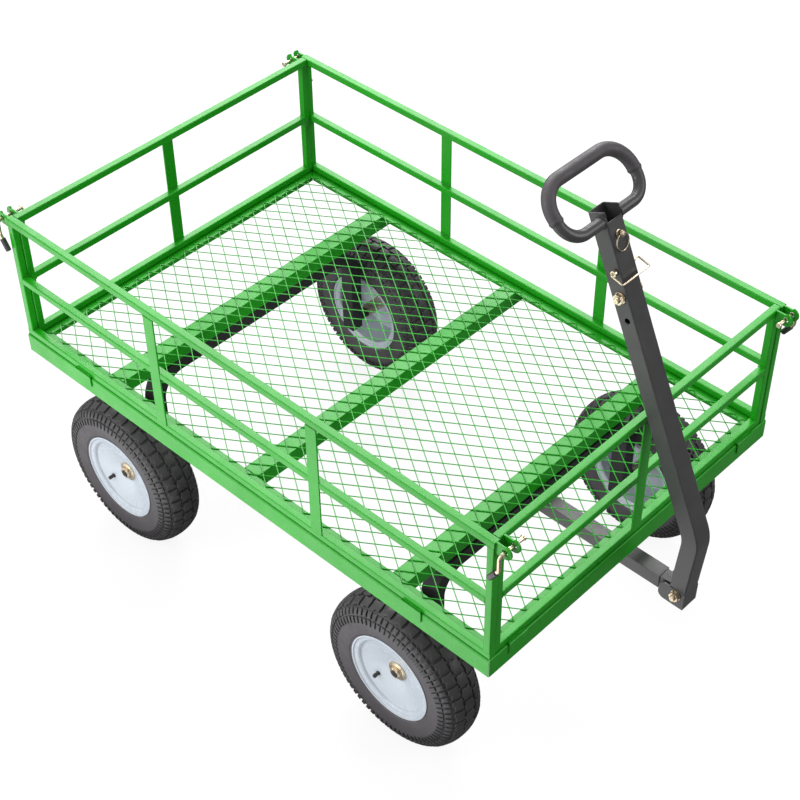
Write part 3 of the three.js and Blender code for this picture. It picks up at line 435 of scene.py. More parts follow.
def skin(node, body, material, edge, angle=30):
    """A copy of a CAD node with clean faces and rounded edges."""
    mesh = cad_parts[node].data.copy()
    mesh.name = node + "_skin"
    mesh.materials.clear()
    bm = bmesh.new()
    bm.from_mesh(mesh)
    bmesh.ops.remove_doubles(bm, verts=bm.verts, dist=1e-5)
    bmesh.ops.dissolve_limit(bm, angle_limit=radians(0.6), verts=bm.verts, edges=bm.edges)
    bm.to_mesh(mesh)
    bm.free()
    shade_smooth(mesh)
    piece = add_piece(node + "_skin", mesh, body, [node], material)
    bevel = round_edges(piece, edge, 3, angle)
    bevel.use_clamp_overlap = True
    bevel.miter_outer = "MITER_ARC"
    return piece


def middle_of(node, **fixed):
    """The middle of a CAD node's box, with any of its coordinates set by name."""
    low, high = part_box(node)
    middle = (low + high) / 2
    for axis, value in fixed.items():
        setattr(middle, axis, value)
    return middle


# Materials

def add_node(tree, kind, inputs=None, **settings):
    """A shader node; each input is linked to a socket or set to a value."""
    node = tree.nodes.new(kind)
    for key, value in settings.items():
        setattr(node, key, value)
    for key, value in (inputs or {}).items():
        if isinstance(value, bpy.types.NodeSocket):
            tree.links.new(value, node.inputs[key])
        else:
            node.inputs[key].default_value = value
    return node


class Finish:
    """Builds one procedural material; colours are linear RGB."""

    def __init__(self, name):
        self.material = bpy.data.materials.new(name)
        self.material.use_nodes = True
        self.tree = self.material.node_tree
        self.shader = self.tree.nodes["Principled BSDF"]
        self.place = self.add("ShaderNodeTexCoord").outputs["Object"]

    def add(self, kind, inputs=None, **settings):
        return add_node(self.tree, kind, inputs, **settings)

    def noise(self, scale, detail, stretch=(1, 1, 1)):
        place = self.add("ShaderNodeMapping", {"Vector": self.place, "Scale": stretch}).outputs[0]
        inputs = {"Vector": place, "Scale": scale, "Detail": detail, "Roughness": 0.6}
        return self.add("ShaderNodeTexNoise", inputs).outputs[0]

    def remap(self, value, low, high, to_low=0.0, to_high=1.0):
        inputs = {"Value": value, "From Min": low, "From Max": high, "To Min": to_low, "To Max": to_high}
        return self.add("ShaderNodeMapRange", inputs, clamp=True).outputs[0]

    def patches(self, scale, detail, low, high, to_low=0.0, to_high=1.0):
        """Noise with its middle range stretched between two values."""
        return self.remap(self.noise(scale, detail), low, high, to_low, to_high)

    def times(self, first, second):
        return self.add("ShaderNodeMath", {0: first, 1: second}, operation="MULTIPLY").outputs[0]

    def plus(self, first, second):
        return self.add("ShaderNodeMath", {0: first, 1: second}, operation="ADD").outputs[0]

    def mix(self, share, first, second):
        """Blends two colours; a colour is three numbers or a socket."""
        full = [c if isinstance(c, bpy.types.NodeSocket) else (*c, 1) for c in (first, second)]
        return self.add("ShaderNodeMix", {0: share, 6: full[0], 7: full[1]}, data_type="RGBA").outputs[2]

    def edges(self, radius):
        """1 on convex and concave edges, 0 on flats."""
        soft = self.add("ShaderNodeBevel", {"Radius": radius}, samples=3).outputs[0]
        true = self.add("ShaderNodeNewGeometry").outputs["Normal"]
        dot = self.add("ShaderNodeVectorMath", {0: soft, 1: true}, operation="DOT_PRODUCT").outputs["Value"]
        return self.remap(dot, 0.985, 0.86)

    def shade_occlusion(self, distance):
        """Ambient occlusion, used as the mask for painted shade: 1 in the open, towards 0 in tight corners.
        """
        return self.add("ShaderNodeAmbientOcclusion", {"Distance": distance}, samples=4).outputs["AO"]

    def bump(self, height, strength, distance):
        inputs = {"Height": height, "Strength": strength, "Distance": distance}
        normal = self.add("ShaderNodeBump", inputs).outputs[0]
        self.tree.links.new(normal, self.shader.inputs["Normal"])

    def link(self, socket, name):
        self.tree.links.new(socket, self.shader.inputs[name])

    def fix(self, **values):
        for name, value in values.items():
            self.shader.inputs[name.replace("_", " ")].default_value = value


def paint(name, base, shade, worn, roughness, peel=1.0, ior=1.45, wear=0.6):
    """Powder coat: slow colour drift, painted shade darkening its corners, rubbed edges, orange peel and fine
    grit.
    """
    finish = Finish(name)
    colour = finish.mix(finish.patches(5, 4, 0.3, 0.7), shade, base)
    # Painted shade: where ambient occlusion finds a corner, the colour is darkened towards 0.45 of the second
    # paint colour.
    corner = finish.remap(finish.shade_occlusion(7 * MM), 0.25, 0.85, 0.55, 0)
    colour = finish.mix(corner, colour, [0.45 * c for c in shade])
    edge = finish.times(finish.edges(1.1 * MM), finish.patches(90, 6, 0.47, 0.62))
    colour = finish.mix(finish.times(edge, wear), colour, worn)
    finish.link(colour, "Base Color")
    finish.link(finish.patches(24, 5, 0.3, 0.7, roughness - 0.07, roughness + 0.08), "Roughness")
    texture = finish.times(finish.noise(420, 2), peel)
    grit = finish.times(finish.noise(1900, 2), 0.35)
    finish.bump(finish.plus(texture, grit), 0.12, 0.35 * MM)
    finish.fix(IOR=ior)
    return finish.material


def plating(name, bright, warm, corner_shade, rubbed):
    """Yellow zinc: metal with warm and pale clouds, painted shade darkening its corners, and fine scratches.
    """
    finish = Finish(name)
    colour = finish.mix(finish.patches(70, 4, 0.35, 0.66), bright, warm)
    # Painted shade: where ambient occlusion finds a corner, the zinc's colour is darkened towards a dark
    # brown.
    colour = finish.mix(finish.remap(finish.shade_occlusion(3 * MM), 0.3, 0.8, 0.8, 0), colour, corner_shade)
    colour = finish.mix(finish.times(finish.edges(0.5 * MM), 0.5), colour, rubbed)
    finish.link(colour, "Base Color")
    finish.link(finish.remap(finish.noise(300, 5, (1, 1, 6)), 0.3, 0.7, 0.2, 0.42), "Roughness")
    finish.bump(finish.noise(900, 3), 0.1, 0.15 * MM)
    finish.fix(Metallic=1.0)
    return finish.material


def rubber(name, base, dusty, roughness, grain, depth):
    """Moulded rubber: bloom and dust in the hollows, fine grain."""
    finish = Finish(name)
    bloom = [0.5 * (a + b) for a, b in zip(base, dusty)]
    colour = finish.mix(finish.patches(18, 5, 0.32, 0.68), base, bloom)
    edge = finish.times(finish.edges(1.4 * MM), finish.patches(60, 5, 0.4, 0.62))
    colour = finish.mix(finish.times(edge, 0.6), colour, dusty)
    finish.link(colour, "Base Color")
    finish.link(finish.patches(40, 4, 0.3, 0.7, roughness - 0.1, roughness + 0.1), "Roughness")
    finish.bump(finish.noise(grain, 3), 0.35, depth)
    finish.fix(IOR=1.5)
    return finish.material


GREEN = paint("green_paint", (0.012, 0.335, 0.008), (0.008, 0.280, 0.005), (0.08, 0.52, 0.07), 0.30, ior=1.37)
CHARCOAL = paint("charcoal_paint", (0.066, 0.063, 0.066), (0.050, 0.050, 0.051), (0.18, 0.18, 0.18),
                 0.33, peel=1.2, wear=0.45)
AXLE_BLACK = paint("axle_paint", (0.020, 0.020, 0.021), (0.014, 0.014, 0.015), (0.08, 0.08, 0.08),
                   0.5, peel=1.4, wear=0.45)
RIM_WHITE = paint("rim_paint", (0.46, 0.50, 0.55), (0.40, 0.45, 0.50), (0.62, 0.66, 0.70),
                  0.26, peel=0.7, wear=0.3)
# The third zinc colour is painted shade for corners.
ZINC = plating("zinc", (0.80, 0.70, 0.54), (0.66, 0.53, 0.36), (0.20, 0.15, 0.10), (0.86, 0.78, 0.66))
TREAD = rubber("tread_rubber", (0.026, 0.025, 0.027), (0.070, 0.066, 0.069), 0.5, 700, 0.3 * MM)
SIDEWALL = rubber("sidewall_rubber", (0.048, 0.044, 0.049), (0.082, 0.076, 0.083), 0.6, 1200, 0.15 * MM)
GRIP = rubber("grip_foam", (0.050, 0.044, 0.049), (0.100, 0.090, 0.098), 0.55, 1500, 0.4 * MM)
VINYL = rubber("vinyl_cap", (0.022, 0.020, 0.023), (0.075, 0.070, 0.078), 0.4, 600, 0.1 * MM)


# Bed frame and deck

def build_bed():
    rails = ["frame_rail_left", "frame_rail_right", "frame_rail_front", "frame_rail_rear"]
    for node in rails + ["crossmember_front", "crossmember_middle", "crossmember_rear"]:
        skin(node, "chassis", GREEN, 1.8 * MM)


def build_deck():
    """Expanded metal: zigzag strands along Y, each joined to its neighbours by turns at short bonds."""
    low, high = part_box("deck_mesh")
    pitch_x = (high.x - low.x) / DECK_STRANDS
    pitch_y = (high.y - low.y) / DECK_ROWS
    swing = pitch_x / 2 - 0.42 * STRAND_WIDTH
    middle = (low.z + high.z) / 2
    section = [(a * STRAND_WIDTH / 2, b * STRAND_THICK / 2) for a, b in SQUARE]
    shapes = []
    for strand in range(DECK_STRANDS):
        centre = low.x + pitch_x * (strand + 0.5)
        points = []
        for row in range(DECK_ROWS + 1):
            lean = 1 if (strand + row) % 2 else -1
            for end in (-1, 1):
                y = min(max(low.y + pitch_y * row + end * BOND_HALF, low.y), high.y)
                bond = Vector((centre + lean * swing, y, middle))
                twist = lean * end * STRAND_TWIST
                for across, above in section:
                    x = across * cos(twist) - above * sin(twist)
                    z = across * sin(twist) + above * cos(twist)
                    points.append(bond + Vector((x, 0, min(max(z, low.z - middle), high.z - middle))))
        last = len(points) - 4
        ends = [[3, 2, 1, 0], [last, last + 1, last + 2, last + 3]]
        shapes.append((points, bands(4, len(points) // 4) + ends))
    piece = add_piece("deck_strands", combine(*shapes), "chassis", ["deck_mesh"], GREEN, crease=30)
    round_edges(piece, 0.35 * MM, 1, 50)


# Panels: drawn running along X with the outer face towards -Y, like the front end panel

def square_tube(start, end):
    side = X_AXIS if start[0] == end[0] else Z_AXIS
    return sweep(between(start, end, 2), box_outline(RAIL, RAIL, RAIL_CORNER), side)


def panel(half, out, skirt, bars, tabs, seed):
    """One panel and, apart from it, its weld beads."""
    middle_y = -out + RAIL / 2
    top, bottom, mid = PANEL_TOP - RAIL / 2, PANEL_BOTTOM + RAIL / 2, MID_RAIL_TOP - RAIL / 2
    inner = half - RAIL
    shapes = []
    for reach, z in ((half, top), (half, bottom), (inner, mid)):
        shapes.append(square_tube((-reach, middle_y, z), (reach, middle_y, z)))
    for x in (-half + RAIL / 2, half - RAIL / 2):
        shapes.append(square_tube((x, middle_y, bottom + RAIL / 2), (x, middle_y, top - RAIL / 2)))
    beads = []

    def bead(start_x, end_x, y, z, radius):
        beads.append(weld([(start_x, y, z), (end_x, y, z)], radius, seed + len(beads), Y_AXIS))

    for side in (-1, 1):
        corner, end = side * inner, side * (half - 1 * MM)
        x = corner - side * 0.2 * MM
        ring = [(x, middle_y + a * RAIL / 2, mid + b * RAIL / 2) for a, b in SQUARE]
        beads.append(weld(ring, 1.5 * MM, seed + len(beads), X_AXIS))
        for z in (top - RAIL / 2, bottom + RAIL / 2):
            bead(corner, end, -out + 1 * MM, z, 1 * MM)
            bead(corner, end, -out + RAIL - 0.6 * MM, z, 1.1 * MM)
    for x in bars:
        low = (x - BAR_WIDTH / 2, -out - BAR_PROUD, PANEL_BOTTOM + RAIL - 0.4 * MM)
        high = (x + BAR_WIDTH / 2, -out - BAR_PROUD + BAR_THICK, PANEL_TOP - RAIL + 0.4 * MM)
        shapes.append(rounded_box(low, high, 0.7 * MM))
        reach = 0.42 * BAR_WIDTH
        for z in (low[2], high[2], MID_RAIL_TOP, MID_RAIL_TOP - RAIL):
            bead(x - reach, x + reach, high[1], z, 1.3 * MM)
    plate_in = -skirt - GAP
    for x in tabs:
        half_tab, reach = TAB_WIDTH / 2, 0.44 * TAB_WIDTH
        low = (x - half_tab, plate_in - TAB_THICK, TAB_BOTTOM)
        shapes.append(rounded_box(low, (x + half_tab, plate_in, TAB_TOP), 0.8 * MM))
        low = (x - half_tab + 0.5 * MM, plate_in - 0.5 * MM, PANEL_BOTTOM + 0.5 * MM)
        high = (x + half_tab - 0.5 * MM, -out + 0.5 * MM, TAB_TOP - 0.3 * MM)
        shapes.append(rounded_box(low, high, 0.4 * MM))
        bead(x - reach, x + reach, -out - 0.5 * MM, TAB_TOP + 0.2 * MM, 1.4 * MM)
    return combine(*shapes), combine(*beads)


def ear(x, root):
    """A latch ear standing forward from y = -root, its thickness along X, and its weld beads."""
    tip, base = -EAR_REACH, -root + 1 * MM
    top = PANEL_TOP - GAP
    outline = [(base, EAR_Z - EAR_RADIUS), (base, top), (tip, top)]
    for angle in (radians(90 + 7.5 * k) for k in range(1, 25)):
        outline.append((tip + EAR_RADIUS * cos(angle), EAR_Z + EAR_RADIUS * sin(angle)))
    shape = plate_with_hole(outline, (tip, EAR_Z), EAR_HOLE, EAR_THICK, 0.4 * MM)
    beads = []
    for face, seed in ((x - EAR_THICK / 2, 7), (x + EAR_THICK / 2, 8)):
        line = [(face, -root, EAR_Z - 12 * MM), (face, -root, EAR_Z + 9 * MM)]
        beads.append(weld(line, 1.3 * MM, seed, X_AXIS))
    return moved(shape, Matrix.Translation((x, 0, 0))), combine(*beads)


def build_panels():
    """Panels are built about the bed's middle at y = 0, then put in place."""
    to_bed = Matrix.Translation((0, BED_MID_Y, 0))
    quarter = Matrix.Rotation(-pi / 2, 4, "Z")
    half_turn = Matrix.Rotation(pi, 4, "Z")
    end_parts = [panel(END_PANEL_HALF, END_PANEL_OUT, BED_HALF_Y, [0], [-END_TAB_X, END_TAB_X], 100)]
    end_parts += [ear(side * INNER_EAR_X, END_PANEL_OUT) for side in (-1, 1)]
    long_panel = panel(LONG_PANEL_HALF, LONG_PANEL_OUT, BED_HALF_X, [-LONG_BAR_X, LONG_BAR_X],
                       [-LONG_TAB_X, LONG_TAB_X], 300)
    long_parts = [[moved(shape, quarter) for shape in long_panel], ear(-OUTER_EAR_X, LONG_PANEL_HALF)]
    long_parts.append([moved(shape, half_turn) for shape in ear(OUTER_EAR_X, LONG_PANEL_HALF)])
    drawn = {
        "end_panel_front": (end_parts, to_bed),
        "end_panel_rear": (end_parts, to_bed @ half_turn),
        "side_panel_left": (long_parts, to_bed),
        "side_panel_right": (long_parts, to_bed @ half_turn),
    }
    for node, (made, matrix) in drawn.items():
        tubes, beads = (moved(combine(*shapes), matrix) for shapes in zip(*made))
        add_piece(node + "_tubes", tubes, "chassis", [node], GREEN)
        add_piece(node + "_welds", beads, "chassis", [], GREEN, crease=WELD_CREASE)


# Corner latches

def build_latches():
    """Four bent rods with a head at the inner end and a vinyl cap on the tip."""
    bends = [
        Vector((LATCH_INNER_X, EAR_REACH, EAR_Z)),
        Vector((LATCH_OUTER_X, EAR_REACH, EAR_Z)),
        Vector((LATCH_OUTER_X, EAR_REACH, LATCH_KNEE_Z)),
        Vector((LATCH_OUTER_X, EAR_REACH - LATCH_TIP_BACK, LATCH_TIP_Z)),
    ]
    bar = sweep(rounded(bends, LATCH_BEND, 8, closed=False), circle(LATCH_ROD, 20), Y_AXIS)
    head = outline_mm([(0, -0.5), (5.8, -0.5), (5.8, 4), (0, 4)], [0, 1.2, 1.2, 0], 4)
    corners = [(0, 1.4), (5.9, 1.4), (6, -24), (6, -27), (4.2, -27), (4.2, -0.2), (0, -0.2)]
    cap = outline_mm(corners, [0, 2.6, 0.6, 0.8, 0.5, 0, 0])
    drawn = {
        "rod": (combine(bar, turned(head, 32, bends[0], X_AXIS)), ZINC),
        "cap": (turned(cap, 40, bends[3], bends[3] - bends[2]), VINYL),
    }
    to_bed = Matrix.Translation((0, BED_MID_Y, 0))
    for corner, side_x, side_y in CORNERS:
        for part, (shape, material) in drawn.items():
            placed = mirrored(moved(shape, to_bed), side_x, side_y)
            body = "latch_" + corner
            add_piece(f"{body}_{part}", placed, body, [f"latch_{part}_{corner}"], material)


# Wheels: drawn about the X axis through their middle, outer side towards +X

def tyre_section():
    """Half of the tyre's outer section, from the middle of the crown down to the bead, as (radius, along)."""
    corners = [(173.2, 0), (172.4, 16), (164.5, 39), (140, 50.4), (113, 46.5), (102, 42.6)]
    return outline_mm(corners, [0, 30, 26, 26, 14, 0], 7, closed=False)


def along_section(section):
    """A function that gives the point and the outward normal at a distance along the section."""
    reach = distances(section)

    def at(distance):
        target = min(abs(distance), reach[-1] - 1e-9)
        index = max(k for k, value in enumerate(reach[:-1]) if value <= target)
        share = (target - reach[index]) / (reach[index + 1] - reach[index])
        point = section[index].lerp(section[index + 1], share)
        slopes = []
        for k in (index, index + 1):
            before, after = section[max(k - 1, 0)], section[min(k + 1, len(section) - 1)]
            slopes.append((after - before).normalized())
        slope = slopes[0].lerp(slopes[1], share).normalized()
        side = copysign(1, distance)
        return Vector((point.x, point.y * side)), Vector((slope.y, -slope.x * side))

    return at


def tread_block(at, outline, height):
    """A block on the casing; its outline is (distance from the crown's middle, distance round the tyre)."""

    def place(flat, lift):
        (radius, along), (out, side) = at(flat.x)
        angle = flat.y / TREAD_BASE
        reach = radius + out * lift
        return Vector((along + side * lift, reach * sin(angle), reach * cos(angle)))

    count = len(outline)
    middle = Vector((sum(p[0] for p in outline), sum(p[1] for p in outline))) / count
    points = []
    levels = ((-BLOCK_ROOT, 0), (height - BLOCK_CHAMFER, BLOCK_TAPER), (height, BLOCK_CHAMFER + BLOCK_TAPER))
    for lift, inset in levels:
        for corner in outline:
            towards = middle - Vector(corner)
            inwards = towards.normalized() * min(inset * 1.3, 0.45 * towards.length)
            points.append(place(Vector(corner) + inwards, lift))
    points.append(place(middle, height))
    faces = bands(count, 3)
    faces += [[2 * count + k, 2 * count + (k + 1) % count, 3 * count] for k in range(count)]
    faces.append(list(range(count - 1, -1, -1)))
    return points, faces


def filled(outline):
    """The outline with extra points, so that a long side follows the tyre's curve."""
    corners = [Vector(corner) for corner in outline]
    result = []
    for start, end in zip(corners, corners[1:] + corners[:1]):
        pieces = max(1, round((end - start).length / BLOCK_STEP))
        result.extend(tuple(start.lerp(end, k / pieces)) for k in range(pieces))
    return result


def tread():
    """Crown blocks with waved grooves between them, then rows of smaller blocks down each shoulder.

    A block's outline is in millimetres from the crown's middle and in shares of the pitch.
    """
    at = along_section(tyre_section())
    pitch = TAU * TREAD_BASE / TREAD_PITCHES
    crown = [(-10, -0.42), (-6, -0.47), (0, -0.40), (6, -0.47), (10, -0.42), (13, 0),
             (10, 0.42), (6, 0.37), (0, 0.44), (-6, 0.37), (-10, 0.42), (-13, 0)]
    flank = [(13, -0.44), (24, -0.40), (34.5, -0.43), (36.5, -0.1), (33, 0.06),
             (34.5, 0.42), (24, 0.45), (13.5, 0.41), (16, 0.02)]
    small = [(39, -0.19), (52.5, -0.17), (52.5, 0.17), (39, 0.19)]
    lower = [(55.5, -0.17), (70, -0.14), (70, 0.14), (55.5, 0.17)]
    rows = [(crown, 0, 4.6 * MM, (1,)), (flank, 0.5, 4.3 * MM, (-1, 1))]
    for outline, height in ((small, 3.9 * MM), (lower, 2.9 * MM)):
        rows += [(outline, shift, height, (-1, 1)) for shift in (0.25, 0.75)]
    blocks = []
    for number in range(TREAD_PITCHES):
        for outline, shift, height, sides in rows:
            for side in sides:
                place = [(d * MM * side, (number + shift + share) * pitch) for d, share in outline]
                blocks.append(tread_block(at, filled(place), height))
    return combine(*blocks)


def casing():
    """The tyre's body: both sides with a ridge above the bead, and the hollow inside."""
    half = tyre_section()
    ridge = outline_mm([(104, 43.6), (106, 44.4), (107, 45.6), (109.5, 45.4)], 0.8, 2, closed=False)
    side = half[:-1] + ridge[::-1] + half[-1:]
    inner = outline_mm([(89, 38), (90, 33), (100, 31), (130, 42), (164, 26), (167, 0)], 0)
    other = [Vector((r, -x)) for r, x in side]
    loop = other[:0:-1] + side + inner + [Vector((r, -x)) for r, x in inner[-2::-1]]
    return lathe(loop, 144)


def make_tyre():
    blocks, body = tread(), casing()
    mesh = to_mesh("tyre", combine(blocks, body), 50)
    mesh.materials.append(TREAD)
    mesh.materials.append(SIDEWALL)
    for polygon in mesh.polygons:
        radius = hypot(polygon.center.y, polygon.center.z)
        if polygon.vertices[0] >= len(blocks[0]) and SIDEWALL_FROM < radius < SIDEWALL_TO:
            polygon.material_index = 1
    return mesh


def make_rim():
    """The pressed rim: a flange, the dished disc, the well and the far flange, then back along the barrel."""
    corners = [(101, 44.8), (97.5, 44.6), (96, 41.5), (88.5, 40.2), (85.5, 37.2), (83.8, 33.6),
               (50, 24.2), (27, 17.2), (15.3, 17), (15.3, 14), (27, 14), (50, 21.4), (84.6, 30.8),
               (85.2, 24), (85.2, -38), (88.5, -41), (96, -42.5), (97.5, -44.7), (101, -44.8),
               (101.4, -43), (99, -42), (90.5, -40.5), (88.5, -36),
               (88.5, 36), (90.5, 40.5), (99, 42), (101.4, 43)]
    soft = [1.6, 1.2, 3, 4, 4, 9,
            20, 5, 0.4, 0.4, 5, 14, 2.5,
            3, 3, 3, 2.5, 1.2, 1.6,
            1, 1, 3, 3, 3, 3, 1, 1]
    return to_mesh("rim", lathe(outline_mm(corners, soft), 96))


def make_hub():
    """The bearing hub: a tube with a flange, and a groove at each end where the bearing shows."""
    corners = [(15, -40), (15, 16.6), (22, 17.1), (22, 20), (18.4, 20), (18.4, 20.6), (15.2, 21), (12.6, 21),
               (12.4, 20.2), (10.4, 20.2), (10.2, 21), (8.4, 21), (8.4, -40), (10.2, -40), (10.4, -39.2),
               (12.6, -39.2), (12.8, -40)]
    return to_mesh("hub", lathe(outline_mm(corners, 0.35, 2), 64))


def make_valve():
    """A rubber stem with a ribbed cap, its flared foot down on the dished disc."""
    corners = [(0, 24), (5.8, 24), (5.6, 26), (4.2, 29.5), (3.4, 31), (3.4, 32), (3.9, 32.3), (3.9, 38.6),
               (3.3, 39.6), (0, 39.6)]
    profile = outline_mm(corners, [0, 0.6, 0.6, 1] + [0.3] * 5 + [0], 3)
    shapes = [lathe(profile, 28, closed=False)]
    for y, z in circle(3.9 * MM, 14):
        shapes.append(sweep([(33 * MM, y, z), (38 * MM, y, z)], circle(0.35 * MM, 6), Y_AXIS))
    return to_mesh("valve", combine(*shapes))


def nut_shape(radius, hole, start, end):
    """A hexagon nut about X with chamfered corners and a plain bore."""
    middle, half = (start + end) / 2, (end - start) / 2
    steps, shoulder = 48, half * (1 - 2 * NUT_CHAMFER)
    sections = ((-half, hole), (-half, 0.9 * radius), (-shoulder, radius),
                (shoulder, radius), (half, 0.9 * radius), (half, hole))
    points = []
    for along, limit in sections:
        for k in range(steps):
            angle = TAU * k / steps
            flat = radius * cos(pi / 6) / cos((angle % (TAU / 6)) - pi / 6)
            reach = min(flat, limit)
            points.append(Vector((middle + along, reach * cos(angle), reach * sin(angle))))
    return points, bands(steps, len(sections), closed=True)


def thread(radius, start, end):
    """A threaded length about X: rings of V-shaped ridges with chamfered ends."""
    turns = max(1, int((end - start) / THREAD_PITCH))
    pitch = (end - start) / turns
    root, point = radius - THREAD_DEPTH, radius - 1.2 * THREAD_DEPTH
    profile = [(0, start), (point, start)]
    for k in range(turns):
        at = start + (k + 0.25) * pitch
        profile += [(root, at), (radius, at + 0.4 * pitch)]
    profile += [(root, end - 0.1 * pitch), (point, end), (0, end)]
    return lathe(profile, 32, closed=False)


def make_stub():
    """The axle stub: a shouldered shaft with a threaded end and a centre drilling."""
    root = (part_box("stub_axle_front_right")[0].x - middle_of("tyre_front_right").x) / MM
    corners = [(0, root), (12, root), (12, -40.3), (8, -40.3), (8, 19), (7.2, 19.6), (0, 19.6)]
    shaft = lathe(outline_mm(corners, [0, 0.4, 0.8, 0.3, 0.3, 0.2, 0], 3), 40, closed=False)
    corners = [(0, 25.5), (2.2, 28), (3, 30), (6.2, 30), (6.6, 29.5), (6.6, 25), (0, 25)]
    drilled = lathe(outline_mm(corners, 0), 32, closed=False)
    return to_mesh("stub", combine(shaft, thread(7.9 * MM, 19.2 * MM, 29.4 * MM), drilled))


def make_axle_nut():
    """A plain washer and a hexagon nut."""
    washer = lathe(outline_mm([(8.4, 21.3), (13.6, 21.3), (13.6, 22.8), (8.4, 22.8)], 0.3, 2), 40)
    return to_mesh("axle_nut", combine(washer, nut_shape(12.6 * MM, 8.05 * MM, 22.9 * MM, 28 * MM)))


def build_wheels():
    turning = (
        ("knobby_tyre_", make_tyre(), "tyre_", TREAD),
        ("pressed_rim_", make_rim(), "rim_", RIM_WHITE),
        ("bearing_hub_", make_hub(), "hub_bearing_", ZINC),
    )
    valve = make_valve()
    fixed = (
        ("axle_stub_", make_stub(), "stub_axle_", AXLE_BLACK),
        ("wheel_nut_", make_axle_nut(), "axle_nut_", ZINC),
    )
    for corner, side_x, side_y in CORNERS:
        centre = middle_of("tyre_" + corner)
        turn = Matrix.Translation(centre) @ Matrix.Rotation(0 if side_x > 0 else pi, 4, "Z")
        wheel = "wheel_" + corner
        for name, mesh, node, material in turning:
            add_piece(name + corner, mesh, wheel, [node + corner], material, turn)
        offset = middle_of("valve_stem_" + corner, x=0) - centre
        stem = Matrix.Translation((0, offset.y, offset.z)) @ turn
        add_piece("valve_" + corner, valve, wheel, ["valve_stem_" + corner], VINYL, stem)
        carrier = "steering" if side_y < 0 else "chassis"
        for name, mesh, node, material in fixed:
            add_piece(name + corner, mesh, carrier, [node + corner], material, turn)


# Undercarriage

def build_undercarriage():
    skins = (
        ("rear_axle", "chassis", AXLE_BLACK, 2.2, 30),
        ("turntable_upper_plate", "chassis", AXLE_BLACK, 0.7, 30),
        ("kingpin_bolt", "chassis", ZINC, 0.8, 50),
        ("front_axle", "steering", AXLE_BLACK, 2.2, 50),
        ("turntable_lower_plate", "steering", AXLE_BLACK, 0.7, 30),
        ("tongue", "steering", CHARCOAL, 1.1, 30),
        ("handle_clevis", "handle", CHARCOAL, 1.2, 30),
    )
    for node, body, material, edge, angle in skins:
        piece = skin(node, body, material, edge * MM, angle)
        if node == "kingpin_bolt":
            slim_shank(piece)


def slim_shank(kingpin):
    """Draws the shank a little thinner, so that the front axle turns clear of it."""
    axis = kingpin.matrix_world.inverted() @ middle_of("kingpin_bolt")
    for vertex in kingpin.data.vertices:
        arm = vertex.co.xy - axis.xy
        if arm.length < SHANK_LIMIT:
            vertex.co.xy = axis.xy + SHANK_SHARE * arm


def ring_path(centre, radius):
    """Points round a circle about X, the last a little past the first."""
    steps = 28
    angles = (TAU * 1.03 * k / steps for k in range(steps + 1))
    return [centre + Vector((0, radius * cos(a), radius * sin(a))) for a in angles]


def build_frame_welds():
    """Beads where cross members meet the frame, stubs meet the axles and the tongue meets its drop block."""
    frame_beads, rear_beads, steering_beads = [], [], []
    for number, name in enumerate(("front", "middle", "rear")):
        low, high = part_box("crossmember_" + name)
        for side in (-1, 1):
            x = side * (BED_INNER_X - 0.1 * MM)
            line = [(x, low.y + 1 * MM, BED_TOP), (x, high.y - 1 * MM, BED_TOP)]
            frame_beads.append(weld(line, 1.2 * MM, 500 + number * 2 + side))
    for corner, side_x, side_y in CORNERS:
        low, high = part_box("stub_axle_" + corner)
        root = middle_of("stub_axle_" + corner, x=low.x if side_x > 0 else high.x)
        beads = steering_beads if side_y < 0 else rear_beads
        beads.append(weld(ring_path(root, STUB_WELD), 1.8 * MM, 540 + side_x, X_AXIS))
    half, middle, rear = TONGUE_HALF, TONGUE_MIDDLE_Z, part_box("tongue")[1].y
    square = [(a * half, rear, middle + b * half) for a, b in SQUARE + SQUARE[:1]]
    steering_beads.append(weld(square, 2 * MM, 560, Y_AXIS))
    for name, beads, body, material in (("chassis_welds", frame_beads, "chassis", GREEN),
                                        ("rear_axle_welds", rear_beads, "chassis", AXLE_BLACK),
                                        ("steering_welds", steering_beads, "steering", AXLE_BLACK)):
        add_piece(name, combine(*beads), body, [], material, crease=WELD_CREASE)


# Handle: places on it are (y, z) in millimetres from its pivot, as it stands upright before its small tilt

HANDLE_TILT = radians(1.3)
TILT = Matrix.Rotation(HANDLE_TILT, 4, "X")
PIVOT = middle_of("handle_pivot_bolt", x=0)
FOOT = (-19, 12.8)
KNEE = (-28, 156)
TIP = (263, 764.6)
HANDLE_LEAN = radians(24.25)
HANDLE_UP = Vector((0, sin(HANDLE_LEAN), cos(HANDLE_LEAN)))
HANDLE_FRONT = Vector((0, -cos(HANDLE_LEAN), sin(HANDLE_LEAN)))
TUBE_WIDTH = 42 * MM
TUBE_DEPTH = 37 * MM
TUBE_WALL = 2.5 * MM
TUBE_CORNER = 3.2 * MM
KNEE_RADIUS = 78.5 * MM
MOUTH_DEPTH = 20 * MM
SPARE_HOLE = (189, 572)
SPARE_HOLE_RADIUS = 6 * MM
HITCH_DOWN = 47 * MM

# Grip loop and its cover
LOOP_FOOT = (265, 744)
LOOP_LEAN = radians(43.9)
LOOP_RADIUS = 11 * MM
COVER_RADIUS = 13 * MM
LOOP_HALF_X = 104 * MM
LOOP_HEIGHT = 101.4 * MM
COVER_SHARE = 5 / 24

# Bolts, bail and pull ring
BOLT_RADIUS = 6 * MM
BOLT_HEXAGON = 11 * MM
BAIL_WIRE = 1.6 * MM
BAIL_LEFT = -34 * MM
BAIL_RIGHT = 40 * MM
BAIL_FORWARD = 20.8 * MM
BAIL_DOWN = 17 * MM
BAIL_BEND = 2.6 * MM
EYE_FORWARD = 7 * MM
RING_RADIUS = 16 * MM
RING_WIRE = 0.78 * MM
RING_DROP = 15.5 * MM
RING_LEAN = radians(9)
RING_TURNS = 2


def on_handle(place, x=0.0):
    return PIVOT + TILT @ Vector((x, place[0] * MM, place[1] * MM))


